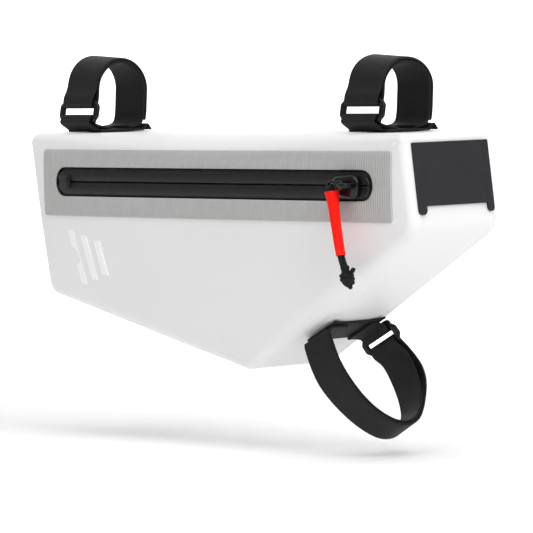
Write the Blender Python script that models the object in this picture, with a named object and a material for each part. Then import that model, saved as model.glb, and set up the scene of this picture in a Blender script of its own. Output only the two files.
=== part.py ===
"""Bicycle frame bag: a hollow welded fabric wedge with a zip, hung in a frame by three strap loops.

X runs along the bag towards the bicycle's head tube, Y from the zip side to the far side, Z up.
The origin is the middle of the top face, where the top tube lies. All sizes are metres.
"""

import bmesh
import bpy
import numpy as np

# Outline of the bag seen from the zip side
TOP_LENGTH = 0.3060
TAIL_HEIGHT = 0.0895
TAIL_LEAN = 0.0158
BELLY_SETBACK = 0.1820
BELLY_DEPTH = 0.1270
HEAD_HEIGHT = 0.0510
HEAD_LEAN = 0.0066
BAG_WIDTH = 0.0640
WALL = 0.0018

# Roundness of the welded body
CORNERS = (  # corner, radius seen from the zip side
    ("top_tail", 0.0060),
    ("low_tail", 0.0080),
    ("belly", 0.0110),
    ("low_head", 0.0100),
    ("top_head", 0.0050),
)
SIDES = (  # side, edge radius at its middle, bow of the whole side, crown across the width, steps
    ("tail", 0.0055, 0.0006, 0.0010, 4),
    ("belly", 0.0080, 0.0010, 0.0015, 7),
    ("slant", 0.0120, 0.0020, 0.0020, 7),
    ("head", 0.0045, 0.0000, 0.0000, 3),
    ("top", 0.0130, 0.0000, 0.0000, 13),
)
EDGE_RADIUS = 0.0050
CORNER_EDGE_SHARE = 0.75
FACE_BULGE = 0.0048
BULGE_REACH = 0.0220
CORNER_STEPS = 3
FILLET_STEPS = 3
GUSSET_SHARES = (0.0, 0.5, 0.8)
FACE_RINGS = (0.18, 0.38, 0.58, 0.78, 0.96)
SPINE_INSET = 0.0500
SPINE_DROP = 0.0400

# Clearance between neighbours
GAP = 0.0003

# Zip: grey surround, black tapes and the window behind them
SURROUND_LENGTH = 0.2820
SURROUND_HEIGHT = 0.0370
SURROUND_RADIUS = 0.0035
SURROUND_THICKNESS = 0.0010
SURROUND_TAIL_INSET = 0.0164
SURROUND_DROP = 0.0275
ZIP_LENGTH = 0.2574
ZIP_HEIGHT = 0.0150
ZIP_SHIFT = -0.0008
WINDOW_MARGIN = 0.0017
WINDOW_RADIUS = 0.0020
TAPE_THICKNESS = 0.0010
TAPE_SPLIT = 0.0004
TAPE_FLANGE = 0.0040
FLANGE_CLEARANCE = 0.0011
TAPE_STEPS = 16
END_SINK = 0.0014
SINK_SHARES = (  # share of the round end's radius, share of the sink
    (0.10, 0.0),
    (0.32, 0.5),
    (0.54, 1.0),
)
END_PAD_LENGTH = 0.0100
END_PAD_HEIGHT = 0.0078
END_PAD_THICKNESS = 0.0012
END_PAD_INSET = 0.0025
END_PAD_RADIUS = 0.0016
END_TAPER = 0.92
GARAGE_TURN = 40.0
GARAGE_RIM = 0.0018
GARAGE_THICKNESS = 0.0012

# Slider and its pull
SLIDER_LENGTH = 0.0200
SLIDER_HEIGHT = 0.0126
SLIDER_DOME = 0.0030
SLIDER_ROUND = 0.38
SLIDER_RISE = (  # share of the dome, share of the length and height there
    (0.00, 0.94),
    (0.25, 1.00),
    (0.60, 0.98),
    (0.85, 0.94),
    (1.00, 0.84),
)
SLIDER_END_INSET = 0.0078
BRIDGE_WIDTH = 0.0024
BRIDGE_THICKNESS = 0.0015
BRIDGE_POST = 0.0020
BRIDGE_SPAN = 0.0044
BRIDGE_SHIFT = 0.0055
TAB_LENGTH = 0.0115
TAB_HEIGHT = 0.0050
TAB_THICKNESS = 0.0016
TAB_RISE = 0.0010
TAB_BAR = 0.0009
TAB_EYE = 0.0042
TAB_RUNNING_GAP = 0.0004
CORD_DIAMETER = 0.0021
SLEEVE_WALL = 0.0005
SLEEVE_FLARE = 0.0018
SLEEVE_LENGTH = 0.0337
KNOT_LENGTH = 0.0125
KNOT_WIDTH = 0.0078
KNOT_LOBE = 0.08
KNOT_ENDS = (  # cut end, side across the bag, way up along the cord, reach beyond the knot
    ("near", -0.35, 0.75, 0.0020),
    ("far", 0.35, 0.20, 0.0012),
)

# Straps, rings and sewn bases
STRAP_WIDTH = 0.0250
STRAP_THICKNESS = 0.0014
RING_SIDE = 0.0040
RING_HEIGHT = 0.0124
RING_THICKNESS = 0.0024
RING_BAR = 0.0027
RING_CHAMFER = 0.0030
RING_EDGE = 0.0009
BEND_FULLNESS = 0.65
SLOT_CHAMFER = 0.0007
LAP_SETTLE = 0.0050
LAP_STEPS = 7
TURN_START = 0.40
TURN_END = 0.90
BASE_THICKNESS = 0.0012
BASE_DEPTH = 0.0360
BASE_WIDTH = 0.0260
BASE_FLARE = 0.0020
BASE_FLAT = 0.22
BASE_KNEE = 0.36
TAIL_STRAP_STATION = 0.0350
TAIL_LOOP_HEIGHT = 0.0399
HEAD_STRAP_STATION = 0.0400
HEAD_LOOP_HEIGHT = 0.0376
TOP_LOOP_HALF = 0.0167
TOP_LOOP_SHIFT = -0.0009
TOP_LOOP_LEAN = 3.7
TOP_LAP_SHARE = 0.54
TOP_RING_HEIGHT = 0.0162
TOP_RING_REACH = 0.0187
TOP_LEG_SLOPE = 0.0080
LOWER_STRAP_WIDTH = 0.0205
LOWER_RING_HEIGHT = 0.0108
LOWER_STRAP_STATION = 0.0497
LOWER_LOOP_WIDTH = 0.0560
LOWER_LOOP_DROP = 0.0608
LOWER_LAP_SHARE = 0.30
LOWER_LAP_BULGE = 0.0040
LOWER_LOOP_TWIST = -7.5
LOWER_LOOP = (  # shares of the loop's width across the bag and of its drop, from the base to the ring
    ("base", -0.362, 0.050),
    ("front", -0.404, 0.170),
    ("front_low", -0.385, 0.420),
    ("front_turn", -0.270, 0.660),
    ("bottom_front", -0.100, 0.848),
    ("bottom", 0.100, 0.958),
    ("bottom_back", 0.300, 0.950),
    ("back_turn", 0.445, 0.835),
    ("back_low", 0.505, 0.665),
    ("back", 0.512, 0.480),
    ("back_high", 0.478, 0.330),
    ("above_ring", 0.399, 0.249),
    ("ring", 0.379, 0.2105),
)

# Cable-port flap on the head end
FLAP_WIDTH = 0.0545
FLAP_TOP = 0.0050
FLAP_HEIGHT = 0.0330
FLAP_LEG = 0.0045
FLAP_LEG_NEAR = 0.0058
FLAP_LEG_FAR = 0.0046
FLAP_THICKNESS = 0.0012

# The pull cord's own route, chosen by hand: along X and Z from the tab's eye
CORD_ROUTE = (
    (0.0003, -0.0030),
    (0.0012, -0.0095),
    (0.0022, -0.0160),
    (0.0034, -0.0230),
    (0.0047, -0.0300),
    (0.0062, -0.0365),
    (0.0079, -0.0412),
)


def material(name, colour, roughness, metallic=0.0):
    """A Principled material of one colour, given as linear red, green and blue."""
    made = bpy.data.materials.new(name)
    made.use_nodes = True
    shader = made.node_tree.nodes["Principled BSDF"]
    shader.inputs["Base Color"].default_value = (*colour, 1.0)
    shader.inputs["Roughness"].default_value = roughness
    shader.inputs["Metallic"].default_value = metallic
    made.diffuse_color = (*colour, 1.0)
    return made


def place_mesh(name, vertices, faces, finish):
    """One closed object from vertices and faces, its normals turned outwards."""
    mesh = bpy.data.meshes.new(name)
    mesh.from_pydata([tuple(v) for v in np.asarray(vertices, float)], [], faces)
    work = bmesh.new()
    work.from_mesh(mesh)
    bmesh.ops.recalc_face_normals(work, faces=work.faces)
    work.to_mesh(mesh)
    work.free()
    mesh.materials.append(finish)
    mesh.shade_smooth()
    mesh.set_sharp_from_angle(angle=np.radians(35))
    thing = bpy.data.objects.new(name, mesh)
    bpy.context.scene.collection.objects.link(thing)
    return thing


def loft(name, rings, finish, path_closed=False):
    """Skin a stack of rings: quads between neighbours, and a cap on each end unless it closes."""
    rings = np.asarray(rings, float)
    count, around = rings.shape[:2]
    faces = []
    for k in range(count if path_closed else count - 1):
        low, high = k * around, ((k + 1) % count) * around
        for j in range(around):
            side = (j + 1) % around
            faces.append((low + j, low + side, high + side, high + j))
    if not path_closed:
        faces.append(tuple(range(around)))
        faces.append(tuple(range((count - 1) * around, count * around)))
    return place_mesh(name, rings.reshape(-1, 3), faces, finish)


def cut(thing, cutter, operation="DIFFERENCE"):
    """Cut, or join, one object with another that stays hidden."""
    cutter.hide_render = True
    cutter.display_type = "WIRE"
    step = thing.modifiers.new(cutter.name, "BOOLEAN")
    step.operation = operation
    step.solver = "EXACT"
    step.object = cutter


def unit(vector):
    return vector / np.linalg.norm(vector, axis=-1, keepdims=True)


def smooth_line(points, steps):
    """A Catmull-Rom curve through the points, with so many steps between neighbours."""
    points = np.asarray(points, float)
    padded = np.vstack([2 * points[0] - points[1], points, 2 * points[-1] - points[-2]])
    share = np.linspace(0, 1, steps, endpoint=False)[:, None]
    runs = []
    for a, b, c, d in zip(padded[:-3], padded[1:-2], padded[2:-1], padded[3:]):
        runs.append(0.5 * (2 * b + (c - a) * share + (2 * a - 5 * b + 4 * c - d) * share**2
                           + (3 * b - a - 3 * c + d) * share**3))
    return np.vstack([*runs, points[-1:]])


def outline_corners():
    """The five sharp corners in X and Z, tail top first and down round the belly to the head."""
    half = TOP_LENGTH / 2
    return np.array([
        (-half, 0.0),
        (-half + TAIL_LEAN, -TAIL_HEIGHT),
        (-half + BELLY_SETBACK, -BELLY_DEPTH),
        (half + HEAD_LEAN, -HEAD_HEIGHT),
        (half, 0.0),
    ])


def side_axes():
    """Start, direction, outward normal and length of each of the five sides."""
    corners = outline_corners()
    ends = np.roll(corners, -1, axis=0)
    along = unit(ends - corners)
    outward = np.stack([along[:, 1], -along[:, 0]], 1)
    return corners, along, outward, np.linalg.norm(ends - corners, axis=1)


def swell(share):
    """0 at both ends of a side and 1 at its middle."""
    return np.sin(np.pi * np.clip(share, 0, 1)) ** 2


def face_bulge(x, z):
    """How far a wide face stands out at a point: it swells away from every side."""
    corners, _, outward, _ = side_axes()
    total = FACE_BULGE * np.ones(np.broadcast(x, z).shape)
    for corner, normal in zip(corners, outward):
        depth = (corner[0] - x) * normal[0] + (corner[1] - z) * normal[1]
        total = total * (1 - np.exp(-np.maximum(depth, 0) / BULGE_REACH))
    return total


def front_y(x, z):
    """Y of the zip face at a point, with the rounding of each nearby side."""
    x, z = np.asarray(x, float), np.asarray(z, float)
    corners, along, outward, lengths = side_axes()
    back = np.zeros(np.broadcast(x, z).shape)
    for row, corner, direction, normal, length in zip(SIDES, corners, along, outward, lengths):
        share = ((x - corner[0]) * direction[0] + (z - corner[1]) * direction[1]) / length
        radius = EDGE_RADIUS + (row[1] - EDGE_RADIUS) * swell(share)
        depth = (corner[0] - x) * normal[0] + (corner[1] - z) * normal[1] + row[2] * swell(share)
        short = np.clip(radius - depth, 0, radius * 0.95)
        back = back + radius - np.sqrt(radius**2 - short**2)
    return -BAG_WIDTH / 2 + back - face_bulge(x, z)


def rounded_outline():
    """Points round the outline with their outward normals, edge radii and crowns."""
    corners, along, outward, lengths = side_axes()
    radii = np.array([row[1] for row in CORNERS])
    turns = np.arccos(np.clip(np.sum(along * np.roll(along, 1, axis=0), axis=1), -1, 1))
    trims = radii * np.tan(turns / 2)
    points, normals, edges, crowns = [], [], [], []
    for k, row in enumerate(SIDES):
        before = outward[k - 1]
        centre = corners[k] - before * radii[k] - along[k - 1] * trims[k]
        angles = np.linspace(0, turns[k], CORNER_STEPS + 1)
        for angle in angles:
            blend = before * np.cos(angle) + along[k - 1] * np.sin(angle)
            points.append(centre + blend * radii[k])
            normals.append(blend)
            edges.append(min(EDGE_RADIUS, radii[k] * CORNER_EDGE_SHARE))
            crowns.append(0.0)
        start = trims[k]
        run = lengths[k] - trims[k] - trims[(k + 1) % len(SIDES)]
        for step in range(1, row[4]):
            place = start + run * step / row[4]
            share = place / lengths[k]
            points.append(corners[k] + along[k] * place + outward[k] * row[2] * swell(share))
            normals.append(outward[k])
            edges.append(EDGE_RADIUS + (row[1] - EDGE_RADIUS) * swell(share))
            crowns.append(row[3] * swell(share))
    return np.array(points), np.array(normals), np.array(edges), np.array(crowns)


def body_rings():
    """Rings of the outer surface from the zip face, over the gusset, to the far face."""
    points, normals, edges, crowns = rounded_outline()
    half = BAG_WIDTH / 2
    inset = points - normals * edges[:, None]
    spine_x = np.clip(inset[:, 0], -TOP_LENGTH / 2 + SPINE_INSET, TOP_LENGTH / 2 - SPINE_INSET)
    spine = np.stack([spine_x, np.full(len(spine_x), -SPINE_DROP)], 1)
    near = []
    for share in reversed(FACE_RINGS):
        flat = inset * (1 - share) + spine * share
        near.append(np.stack([flat[:, 0], front_y(flat[:, 0], flat[:, 1]), flat[:, 1]], 1))
    stand = face_bulge(inset[:, 0], inset[:, 1])
    for angle in np.radians(np.linspace(90, 0, FILLET_STEPS + 1)):
        flat = points - normals * (edges * (1 - np.cos(angle)))[:, None]
        depth = half - edges + (edges + stand) * np.sin(angle)
        near.append(np.stack([flat[:, 0], -depth, flat[:, 1]], 1))
    for share in reversed(GUSSET_SHARES):
        flat = points + normals * (crowns * (1 - share**4))[:, None]
        near.append(np.stack([flat[:, 0], -(half - edges) * share, flat[:, 1]], 1))
    near = np.array(near)
    far = near[:-1][::-1] * (1, -1, 1)
    return np.concatenate([near, far])


def stadium(length, height, radius, steps):
    """Points round a rounded rectangle in its own plane, the same count for any radius."""
    quarter = np.linspace(0, np.pi / 2, steps + 1)
    loop = []
    for turn, (sx, sz) in enumerate(((1, 1), (-1, 1), (-1, -1), (1, -1))):
        angle = quarter + turn * np.pi / 2
        x = sx * (length / 2 - radius) + radius * np.cos(angle)
        z = sz * (height / 2 - radius) + radius * np.sin(angle)
        loop.extend(zip(x, z))
    return np.array(loop)


def zip_centre():
    """Middle of the grey surround in X and Z."""
    return -TOP_LENGTH / 2 + SURROUND_TAIL_INSET + SURROUND_LENGTH / 2, -SURROUND_DROP


def on_front(flat, proud):
    """Points of the front face, standing proud of it by so much."""
    y = front_y(flat[:, 0], flat[:, 1]) - proud
    return np.stack([flat[:, 0], y, flat[:, 1]], 1)


def make_body(finish):
    body = loft("bag_body", body_rings(), finish)
    wall = body.modifiers.new("wall", "SOLIDIFY")
    wall.thickness = WALL
    wall.offset = -1
    centre_x, centre_z = zip_centre()
    window = stadium(ZIP_LENGTH + 2 * WINDOW_MARGIN, ZIP_HEIGHT + 2 * WINDOW_MARGIN, WINDOW_RADIUS, 2)
    window = window + (centre_x + ZIP_SHIFT, centre_z)
    depths = (-BAG_WIDTH, -BAG_WIDTH / 2 + EDGE_RADIUS + WALL)
    rings = [np.stack([window[:, 0], np.full(len(window), y), window[:, 1]], 1) for y in depths]
    cut(body, loft("zip_window", rings, finish))
    return body


def make_surround(finish):
    """The ribbed grey frame round the zip: a band between two loops that lies on the front."""
    centre = np.array(zip_centre())
    outer = stadium(SURROUND_LENGTH, SURROUND_HEIGHT, SURROUND_RADIUS, 4)
    inner = stadium(ZIP_LENGTH, ZIP_HEIGHT, ZIP_HEIGHT / 2 - GAP, 4) + (ZIP_SHIFT, 0)
    ends = np.roll(outer, -1, axis=0)
    pieces = np.where(np.linalg.norm(ends - outer, axis=1) > TOP_LENGTH / 4, TAPE_STEPS, 1)
    loops = []
    for loop in (outer, inner):
        nexts = np.roll(loop, -1, axis=0)
        fine = [a + (b - a) * k / n for a, b, n in zip(loop, nexts, pieces) for k in range(n)]
        loops.append(np.array(fine) + centre)
    outer, inner = loops
    middle = outer * 0.5 + inner * 0.5
    low, high = GAP, GAP + SURROUND_THICKNESS
    rings = [on_front(outer, low), on_front(outer, high), on_front(middle, high),
             on_front(inner, high), on_front(inner, low), on_front(middle, low)]
    return loft("zip_surround", rings, finish, path_closed=True)


def tape_profile():
    """Half of the zip seen along it: distance from the split, and depth behind the front face."""
    reach = ZIP_HEIGHT / 2
    flange = WALL + FLANGE_CLEARANCE + TAPE_THICKNESS / 2
    return np.array([
        (TAPE_SPLIT / 2, 0.0002),
        (reach * 0.25, -0.0002),
        (reach * 0.65, -0.0001),
        (reach - TAPE_THICKNESS * 0.6, TAPE_THICKNESS * 0.6),
        (reach, WALL * 0.8),
        (reach + WINDOW_MARGIN * 0.5, flange),
        (reach + TAPE_FLANGE, flange),
    ])


def make_tape(name, side, finish):
    """One zip tape: a folded strip whose flange lies behind the window's edge."""
    centre_x, centre_z = zip_centre()
    line = tape_profile()
    slope = unit(np.gradient(line, axis=0))
    normal = np.stack([-slope[:, 1], slope[:, 0]], 1) * TAPE_THICKNESS / 2
    section = np.vstack([line + normal, (line - normal)[::-1]])
    section[[0, -1], 0] = TAPE_SPLIT / 2
    straight = (ZIP_LENGTH - ZIP_HEIGHT) / 2
    ends = [(straight + share * ZIP_HEIGHT / 2, sink * END_SINK) for share, sink in SINK_SHARES]
    ends.append((ZIP_LENGTH / 2 + WINDOW_MARGIN - 2 * GAP, END_SINK))
    stations = [(-x, sink) for x, sink in reversed(ends)]
    stations.extend((x, 0.0) for x in np.linspace(-straight, straight, TAPE_STEPS - 1))
    rings = []
    for place, sink in stations + ends:
        x = place + centre_x + ZIP_SHIFT
        z = centre_z + side * section[:, 0]
        y = front_y(x, z) + section[:, 1] + sink * np.exp(-(section[:, 1] / TAPE_THICKNESS) ** 2)
        rings.append(np.stack([np.full(len(z), x), y, z], 1))
    return loft(name, rings, finish)


def zip_surface(x, height):
    """Y of the zip tapes' outermost skin at X, within a height about the split."""
    z = zip_centre()[1] + np.linspace(-0.5, 0.5, 5) * height
    return float(front_y(x, z).min()) + float(tape_profile()[:, 1].min()) - TAPE_THICKNESS / 2


def plate(name, loop, base, thickness, finish, taper=1.0):
    """A plate parallel to the front: a loop in X and Z, from base outwards, its top tapered."""
    middle = loop.mean(axis=0)
    top = middle + (loop - middle) * taper
    rings = [np.stack([ring[:, 0], np.full(len(ring), y), ring[:, 1]], 1)
             for ring, y in ((loop, base), (top, base - thickness))]
    return loft(name, rings, finish)


def make_zip_ends(finish):
    """The stitched pad at the tail end of the zip and the raised rim at its head end."""
    centre_x, centre_z = zip_centre()
    tail = centre_x + ZIP_SHIFT - ZIP_LENGTH / 2
    pad_x = tail + END_PAD_INSET + END_PAD_LENGTH / 2
    pad = stadium(END_PAD_LENGTH, END_PAD_HEIGHT, END_PAD_RADIUS, 3) + (pad_x, centre_z)
    base = min(zip_surface(pad_x + end * END_PAD_LENGTH / 2, END_PAD_HEIGHT) for end in (-1, 1))
    plate("zip_end_pad", pad, base - GAP, END_PAD_THICKNESS, finish, END_TAPER)
    head = centre_x + ZIP_SHIFT + ZIP_LENGTH / 2
    outer = ZIP_HEIGHT / 2 - 2 * GAP
    middle = head - ZIP_HEIGHT / 2
    angles = np.radians(np.linspace(-GARAGE_TURN, GARAGE_TURN, 9))
    outside = np.stack([middle + outer * np.cos(angles), centre_z + outer * np.sin(angles)], 1)
    inner = outer - GARAGE_RIM
    inside = np.stack([middle + inner * np.cos(angles), centre_z + inner * np.sin(angles)], 1)[::-1]
    base = zip_surface(head - ZIP_HEIGHT, ZIP_HEIGHT) - 2 * GAP + END_SINK / 2
    plate("zip_garage_rim", np.vstack([outside, inside]), base, GARAGE_THICKNESS + END_SINK / 2, finish)


def slider_place():
    """Middle of the slider in X and Z, and Y of its underside."""
    centre_x, centre_z = zip_centre()
    x = centre_x + ZIP_SHIFT + ZIP_LENGTH / 2 - SLIDER_END_INSET - SLIDER_LENGTH / 2
    under = min(zip_surface(x + end * SLIDER_LENGTH / 2, SLIDER_HEIGHT) for end in (-1, 1))
    return x, centre_z, under - GAP


def tab_plane():
    """Y of the middle of the tab's thickness: the sleeved cord passes between the tab and the slider."""
    return slider_place()[2] - SLIDER_DOME - CORD_DIAMETER - SLEEVE_WALL - 4 * GAP - TAB_THICKNESS / 2


def bridge_place():
    """X of the middle of the slider's bridge."""
    return slider_place()[0] + BRIDGE_SHIFT


def make_slider(finish):
    """Domed slider body with a bridge on two posts, under which the tab's end bar swings."""
    x, z, base = slider_place()
    bridge_z = z + TAB_RISE
    rings = []
    for share, size in SLIDER_RISE:
        loop = stadium(SLIDER_LENGTH * size, SLIDER_HEIGHT * size, SLIDER_HEIGHT * size * SLIDER_ROUND, 3)
        loop = loop + (x, z)
        rings.append(np.stack([loop[:, 0], np.full(len(loop), base - SLIDER_DOME * share), loop[:, 1]], 1))
    body = loft("slider_body", rings, finish)
    low = base - SLIDER_DOME * 0.9
    under = tab_plane() - TAB_THICKNESS / 2 - TAB_RUNNING_GAP
    first = bridge_place() - BRIDGE_SPAN / 2 - BRIDGE_POST
    last = bridge_place() + BRIDGE_SPAN / 2 + BRIDGE_POST
    half = BRIDGE_WIDTH / 2
    outline = np.array([(first, low), (first, under - BRIDGE_THICKNESS * 0.5),
                        (first + BRIDGE_POST * 0.5, under - BRIDGE_THICKNESS),
                        (last - BRIDGE_POST * 0.5, under - BRIDGE_THICKNESS),
                        (last, under - BRIDGE_THICKNESS * 0.5), (last, low),
                        (last - BRIDGE_POST, low), (last - BRIDGE_POST, under),
                        (first + BRIDGE_POST, under), (first + BRIDGE_POST, low)])
    rings = [np.stack([outline[:, 0], outline[:, 1], np.full(len(outline), bridge_z + s)], 1)
             for s in (-half, half)]
    cut(body, loft("slider_bridge", rings, finish), "UNION")
    return body


def tab_eye():
    """X and Z of the middle of the eye that holds the cord."""
    tip = bridge_place() - BRIDGE_SPAN / 2 + BRIDGE_POST * 0.8 - TAB_LENGTH
    return tip + TAB_BAR * 1.2 + TAB_EYE / 2, slider_place()[1] + TAB_RISE


def make_tab(finish):
    """Flat metal pull with an eye for the cord and a square eye round the bridge's near post."""
    z = slider_place()[1] + TAB_RISE
    y = tab_plane()
    last = bridge_place() - BRIDGE_SPAN / 2 + BRIDGE_POST * 0.8
    loop = stadium(TAB_LENGTH, TAB_HEIGHT, TAB_HEIGHT * 0.42, 4) + (last - TAB_LENGTH / 2, z)
    tab = plate("pull_tab", loop, y + TAB_THICKNESS / 2, TAB_THICKNESS, finish)
    eye_x, eye_z = tab_eye()
    height = TAB_HEIGHT - 2 * TAB_BAR
    eye = stadium(TAB_EYE, height, height * 0.45, 3) + (eye_x, eye_z)
    cut(tab, plate("cord_eye", eye, y + TAB_THICKNESS, 2 * TAB_THICKNESS, finish))
    post = bridge_place() - BRIDGE_SPAN / 2 - BRIDGE_POST / 2
    square = stadium(BRIDGE_POST + 2 * TAB_RUNNING_GAP, BRIDGE_WIDTH + 2 * TAB_RUNNING_GAP, 0.0002, 1)
    cut(tab, plate("post_eye", square + (post, z), y + TAB_THICKNESS, 2 * TAB_THICKNESS, finish))
    return tab


def pull_line():
    """The pull's middle line in X, Y and Z from the tab's eye to the knot, hanging clear of the front."""
    eye_x, eye_z = tab_eye()
    flat = smooth_line(np.array(CORD_ROUTE) + (eye_x, eye_z), 2)
    return np.stack([flat[:, 0], np.full(len(flat), tab_plane()), flat[:, 1]], 1)


def strand_spread(share):
    """Half the distance between the two strands: wide at the eye, side by side below."""
    at_eye = TAB_THICKNESS / 2 + GAP + CORD_DIAMETER / 2
    beside = CORD_DIAMETER / 2 + GAP / 2
    return beside + (at_eye - beside) * np.clip(1 - share / 0.25, 0, 1) ** 2


def make_cord(finish):
    """The cord: up behind the tab's lower bar, through the eye and down in front of it."""
    line = pull_line()
    share = np.linspace(0, 1, len(line))
    spread = strand_spread(share)
    behind = line + np.stack([np.zeros(len(line)), spread, np.zeros(len(line))], 1)
    front = line - np.stack([np.zeros(len(line)), spread, np.zeros(len(line))], 1)
    eye_x, eye_z = tab_eye()
    bar_z = eye_z - TAB_HEIGHT / 2 + TAB_BAR / 2
    rise = TAB_BAR / 2 + GAP + CORD_DIAMETER / 2
    reach = strand_spread(np.zeros(1))[0]
    turn = [(eye_x, tab_plane() + reach * np.cos(a), bar_z + rise * np.sin(a))
            for a in np.radians((0, 36, 72, 108, 144, 180))]
    route = np.vstack([behind[::-1], turn, front])
    curve = bpy.data.curves.new("pull_cord", "CURVE")
    curve.dimensions = "3D"
    curve.bevel_depth = CORD_DIAMETER / 2
    curve.bevel_resolution = 2
    curve.use_fill_caps = True
    spline = curve.splines.new("POLY")
    spline.points.add(len(route) - 1)
    for point, place in zip(spline.points, route):
        point.co = (*place, 1.0)
    curve.materials.append(finish)
    thing = bpy.data.objects.new("pull_cord", curve)
    bpy.context.scene.collection.objects.link(thing)
    return thing


def make_sleeve(finish):
    """Red sleeve over both strands, flattened and wide at its top, slim at its lower end."""
    line = pull_line()
    run = np.concatenate([[0], np.cumsum(np.linalg.norm(np.diff(line, axis=0), axis=1))])
    fine = np.linspace(0, SLEEVE_LENGTH, 9)
    centre = np.stack([np.interp(fine, run, line[:, k]) for k in range(3)], 1)
    slope = unit(np.gradient(centre, axis=0))
    across = unit(np.cross(slope, (0, 1, 0)))
    spread = strand_spread(fine / run[-1])
    share = np.linspace(0, 1, len(fine))
    rings_out, rings_in = [], []
    angles = np.linspace(0, 2 * np.pi, 12, endpoint=False)
    for c, a, gap, s in zip(centre, across, spread, share):
        deep = gap + CORD_DIAMETER / 2 + GAP
        wide = CORD_DIAMETER / 2 + GAP + SLEEVE_FLARE * (1 - s) ** 2
        for rings, wall in ((rings_out, SLEEVE_WALL), (rings_in, 0.0)):
            rings.append([c + a * (wide + wall) * np.cos(t) + np.array((0, 1, 0)) * (deep + wall) * np.sin(t)
                          for t in angles])
    rings = rings_out + rings_in[::-1]
    return loft("pull_sleeve", rings, finish, path_closed=True)


def make_knot(finish):
    """The lumpy stopper knot under the cord, with the two short cut ends that stand out of it."""
    line = pull_line()
    slope = unit(line[-1] - line[-2])
    across = unit(np.cross(slope, (0, 1, 0)))
    out = np.array((0.0, 1.0, 0.0))
    top = line[-1] + slope * (GAP + 0.0001)
    rings = []
    for share in np.linspace(0, 1, 9):
        size = KNOT_WIDTH / 2 * (0.34 + 0.66 * np.sin(np.pi * (0.08 + 0.86 * share)) ** 0.7)
        centre = top + slope * KNOT_LENGTH * share
        ring = []
        for angle in np.linspace(0, 2 * np.pi, 12, endpoint=False):
            lobe = size * (1 + KNOT_LOBE * np.cos(3 * angle + 5 * share))
            ring.append(centre + (across * np.cos(angle) + out * np.sin(angle)) * lobe)
        rings.append(ring)
    knot = loft("pull_knot", rings, finish)
    start = top + slope * KNOT_LENGTH * 0.3
    for label, deep, up, reach in KNOT_ENDS:
        way = unit(across - slope * up + out * deep)
        end = start + way * (KNOT_WIDTH / 2 + reach)
        u = unit(np.cross(way, out))
        v = np.cross(way, u)
        ring = [[place + (u * np.cos(t) + v * np.sin(t)) * CORD_DIAMETER / 2
                 for t in np.linspace(0, 2 * np.pi, 8, endpoint=False)] for place in (start, end)]
        cut(knot, loft("knot_end_" + label, ring, finish), "UNION")
    return knot


def gusset_height(index, distance, y):
    """Height of a side's surface over its straight line, at places along it and across the bag."""
    row = SIDES[index]
    rise = swell(distance / side_axes()[3][index])
    radius = EDGE_RADIUS + (row[1] - EDGE_RADIUS) * rise
    across = np.clip(np.abs(y) / (BAG_WIDTH / 2 - radius), 0, 1)
    return (row[2] + row[3] * (1 - across**4)) * rise


def side_frame(index, distance):
    """Origin and axes of a place on a side: along its surface and straight out of it."""
    corners, along, outward, _ = side_axes()
    level = float(gusset_height(index, distance, 0.0))
    ahead = float(gusset_height(index, distance + BASE_WIDTH / 2, 0.0))
    behind = float(gusset_height(index, distance - BASE_WIDTH / 2, 0.0))
    slope = (ahead - behind) / BASE_WIDTH
    flat = corners[index] + along[index] * distance + outward[index] * level
    run = unit(along[index] + outward[index] * slope)
    out = unit(outward[index] - along[index] * slope)
    place = (index, distance, level, slope)
    return np.array((flat[0], 0.0, flat[1])), np.array((run[0], 0.0, run[1])), np.array((out[0], 0.0, out[1])), place


def surface_height(frame, y):
    """Height of the bag's surface over a place's plane: its highest within a base's width."""
    index, distance, level, slope = frame[3]
    along = np.linspace(-0.5, 0.5, 7)[:, None] * (BASE_WIDTH + 2 * BASE_FLARE)
    return np.max(gusset_height(index, distance + along, np.atleast_1d(y)) - level - slope * along, axis=0)


def strap_seat(frame):
    """Height of a strap's middle line where it lies on its base."""
    return float(surface_height(frame, BASE_DEPTH * BASE_FLAT)[0]) + BASE_THICKNESS + 2 * GAP + STRAP_THICKNESS / 2


def seam_start():
    """Distance across the bag from a base's middle to where a strap or tab begins: just off its flat."""
    return BASE_DEPTH * BASE_FLAT + GAP


def ribbon(name, frame, path, width, thickness, finish, twist=0.0, lean=0.0):
    """A strap: a path across the bag and out of it, with a width along the side. Widths may vary.

    As the path gets further out, the width turns about the way out by the twist and tips
    towards it by the lean, both in degrees.
    """
    origin, run, out = frame[:3]
    across = np.array((0.0, 1.0, 0.0))
    path = np.asarray(path, float)
    slope = unit(np.gradient(path, axis=0))
    normal = np.stack([-slope[:, 1], slope[:, 0]], 1) * thickness / 2
    far = np.clip((path[:, 1] / path[:, 1].max() - TURN_START) / (TURN_END - TURN_START), 0, 1)
    rings = []
    for point, lift, wide, share in zip(path, normal, np.broadcast_to(width, len(path)), swell(far / 2)):
        turn, tip = np.radians(twist) * share, np.radians(lean) * share
        broad = unit(run + across * np.tan(turn) + out * np.tan(tip)) * wide / 2
        ring = []
        for side, sign in ((-1, 1), (1, 1), (1, -1), (-1, -1)):
            flat = point + lift * sign
            ring.append(origin + broad * side + across * flat[0] + out * flat[1])
        rings.append(ring)
    return loft(name, rings, finish)


def ring_reach():
    """Distances from a ring bar's middle to a strap's middle line: through and along the ring."""
    cover = GAP + STRAP_THICKNESS / 2
    return RING_THICKNESS / 2 + cover, RING_BAR / 2 + cover


def bend(centre, heading, away):
    """A strap's turn round a ring's bar, fuller than an ellipse, from its inner face to its outer one."""
    through, beyond = ring_reach()
    angles = np.radians((22, 45, 67, 90, 113, 135, 158))[:, None]
    across = -np.sign(np.cos(angles)) * np.abs(np.cos(angles)) ** BEND_FULLNESS
    return centre + away * through * across + heading * beyond * np.sin(angles) ** BEND_FULLNESS


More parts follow.
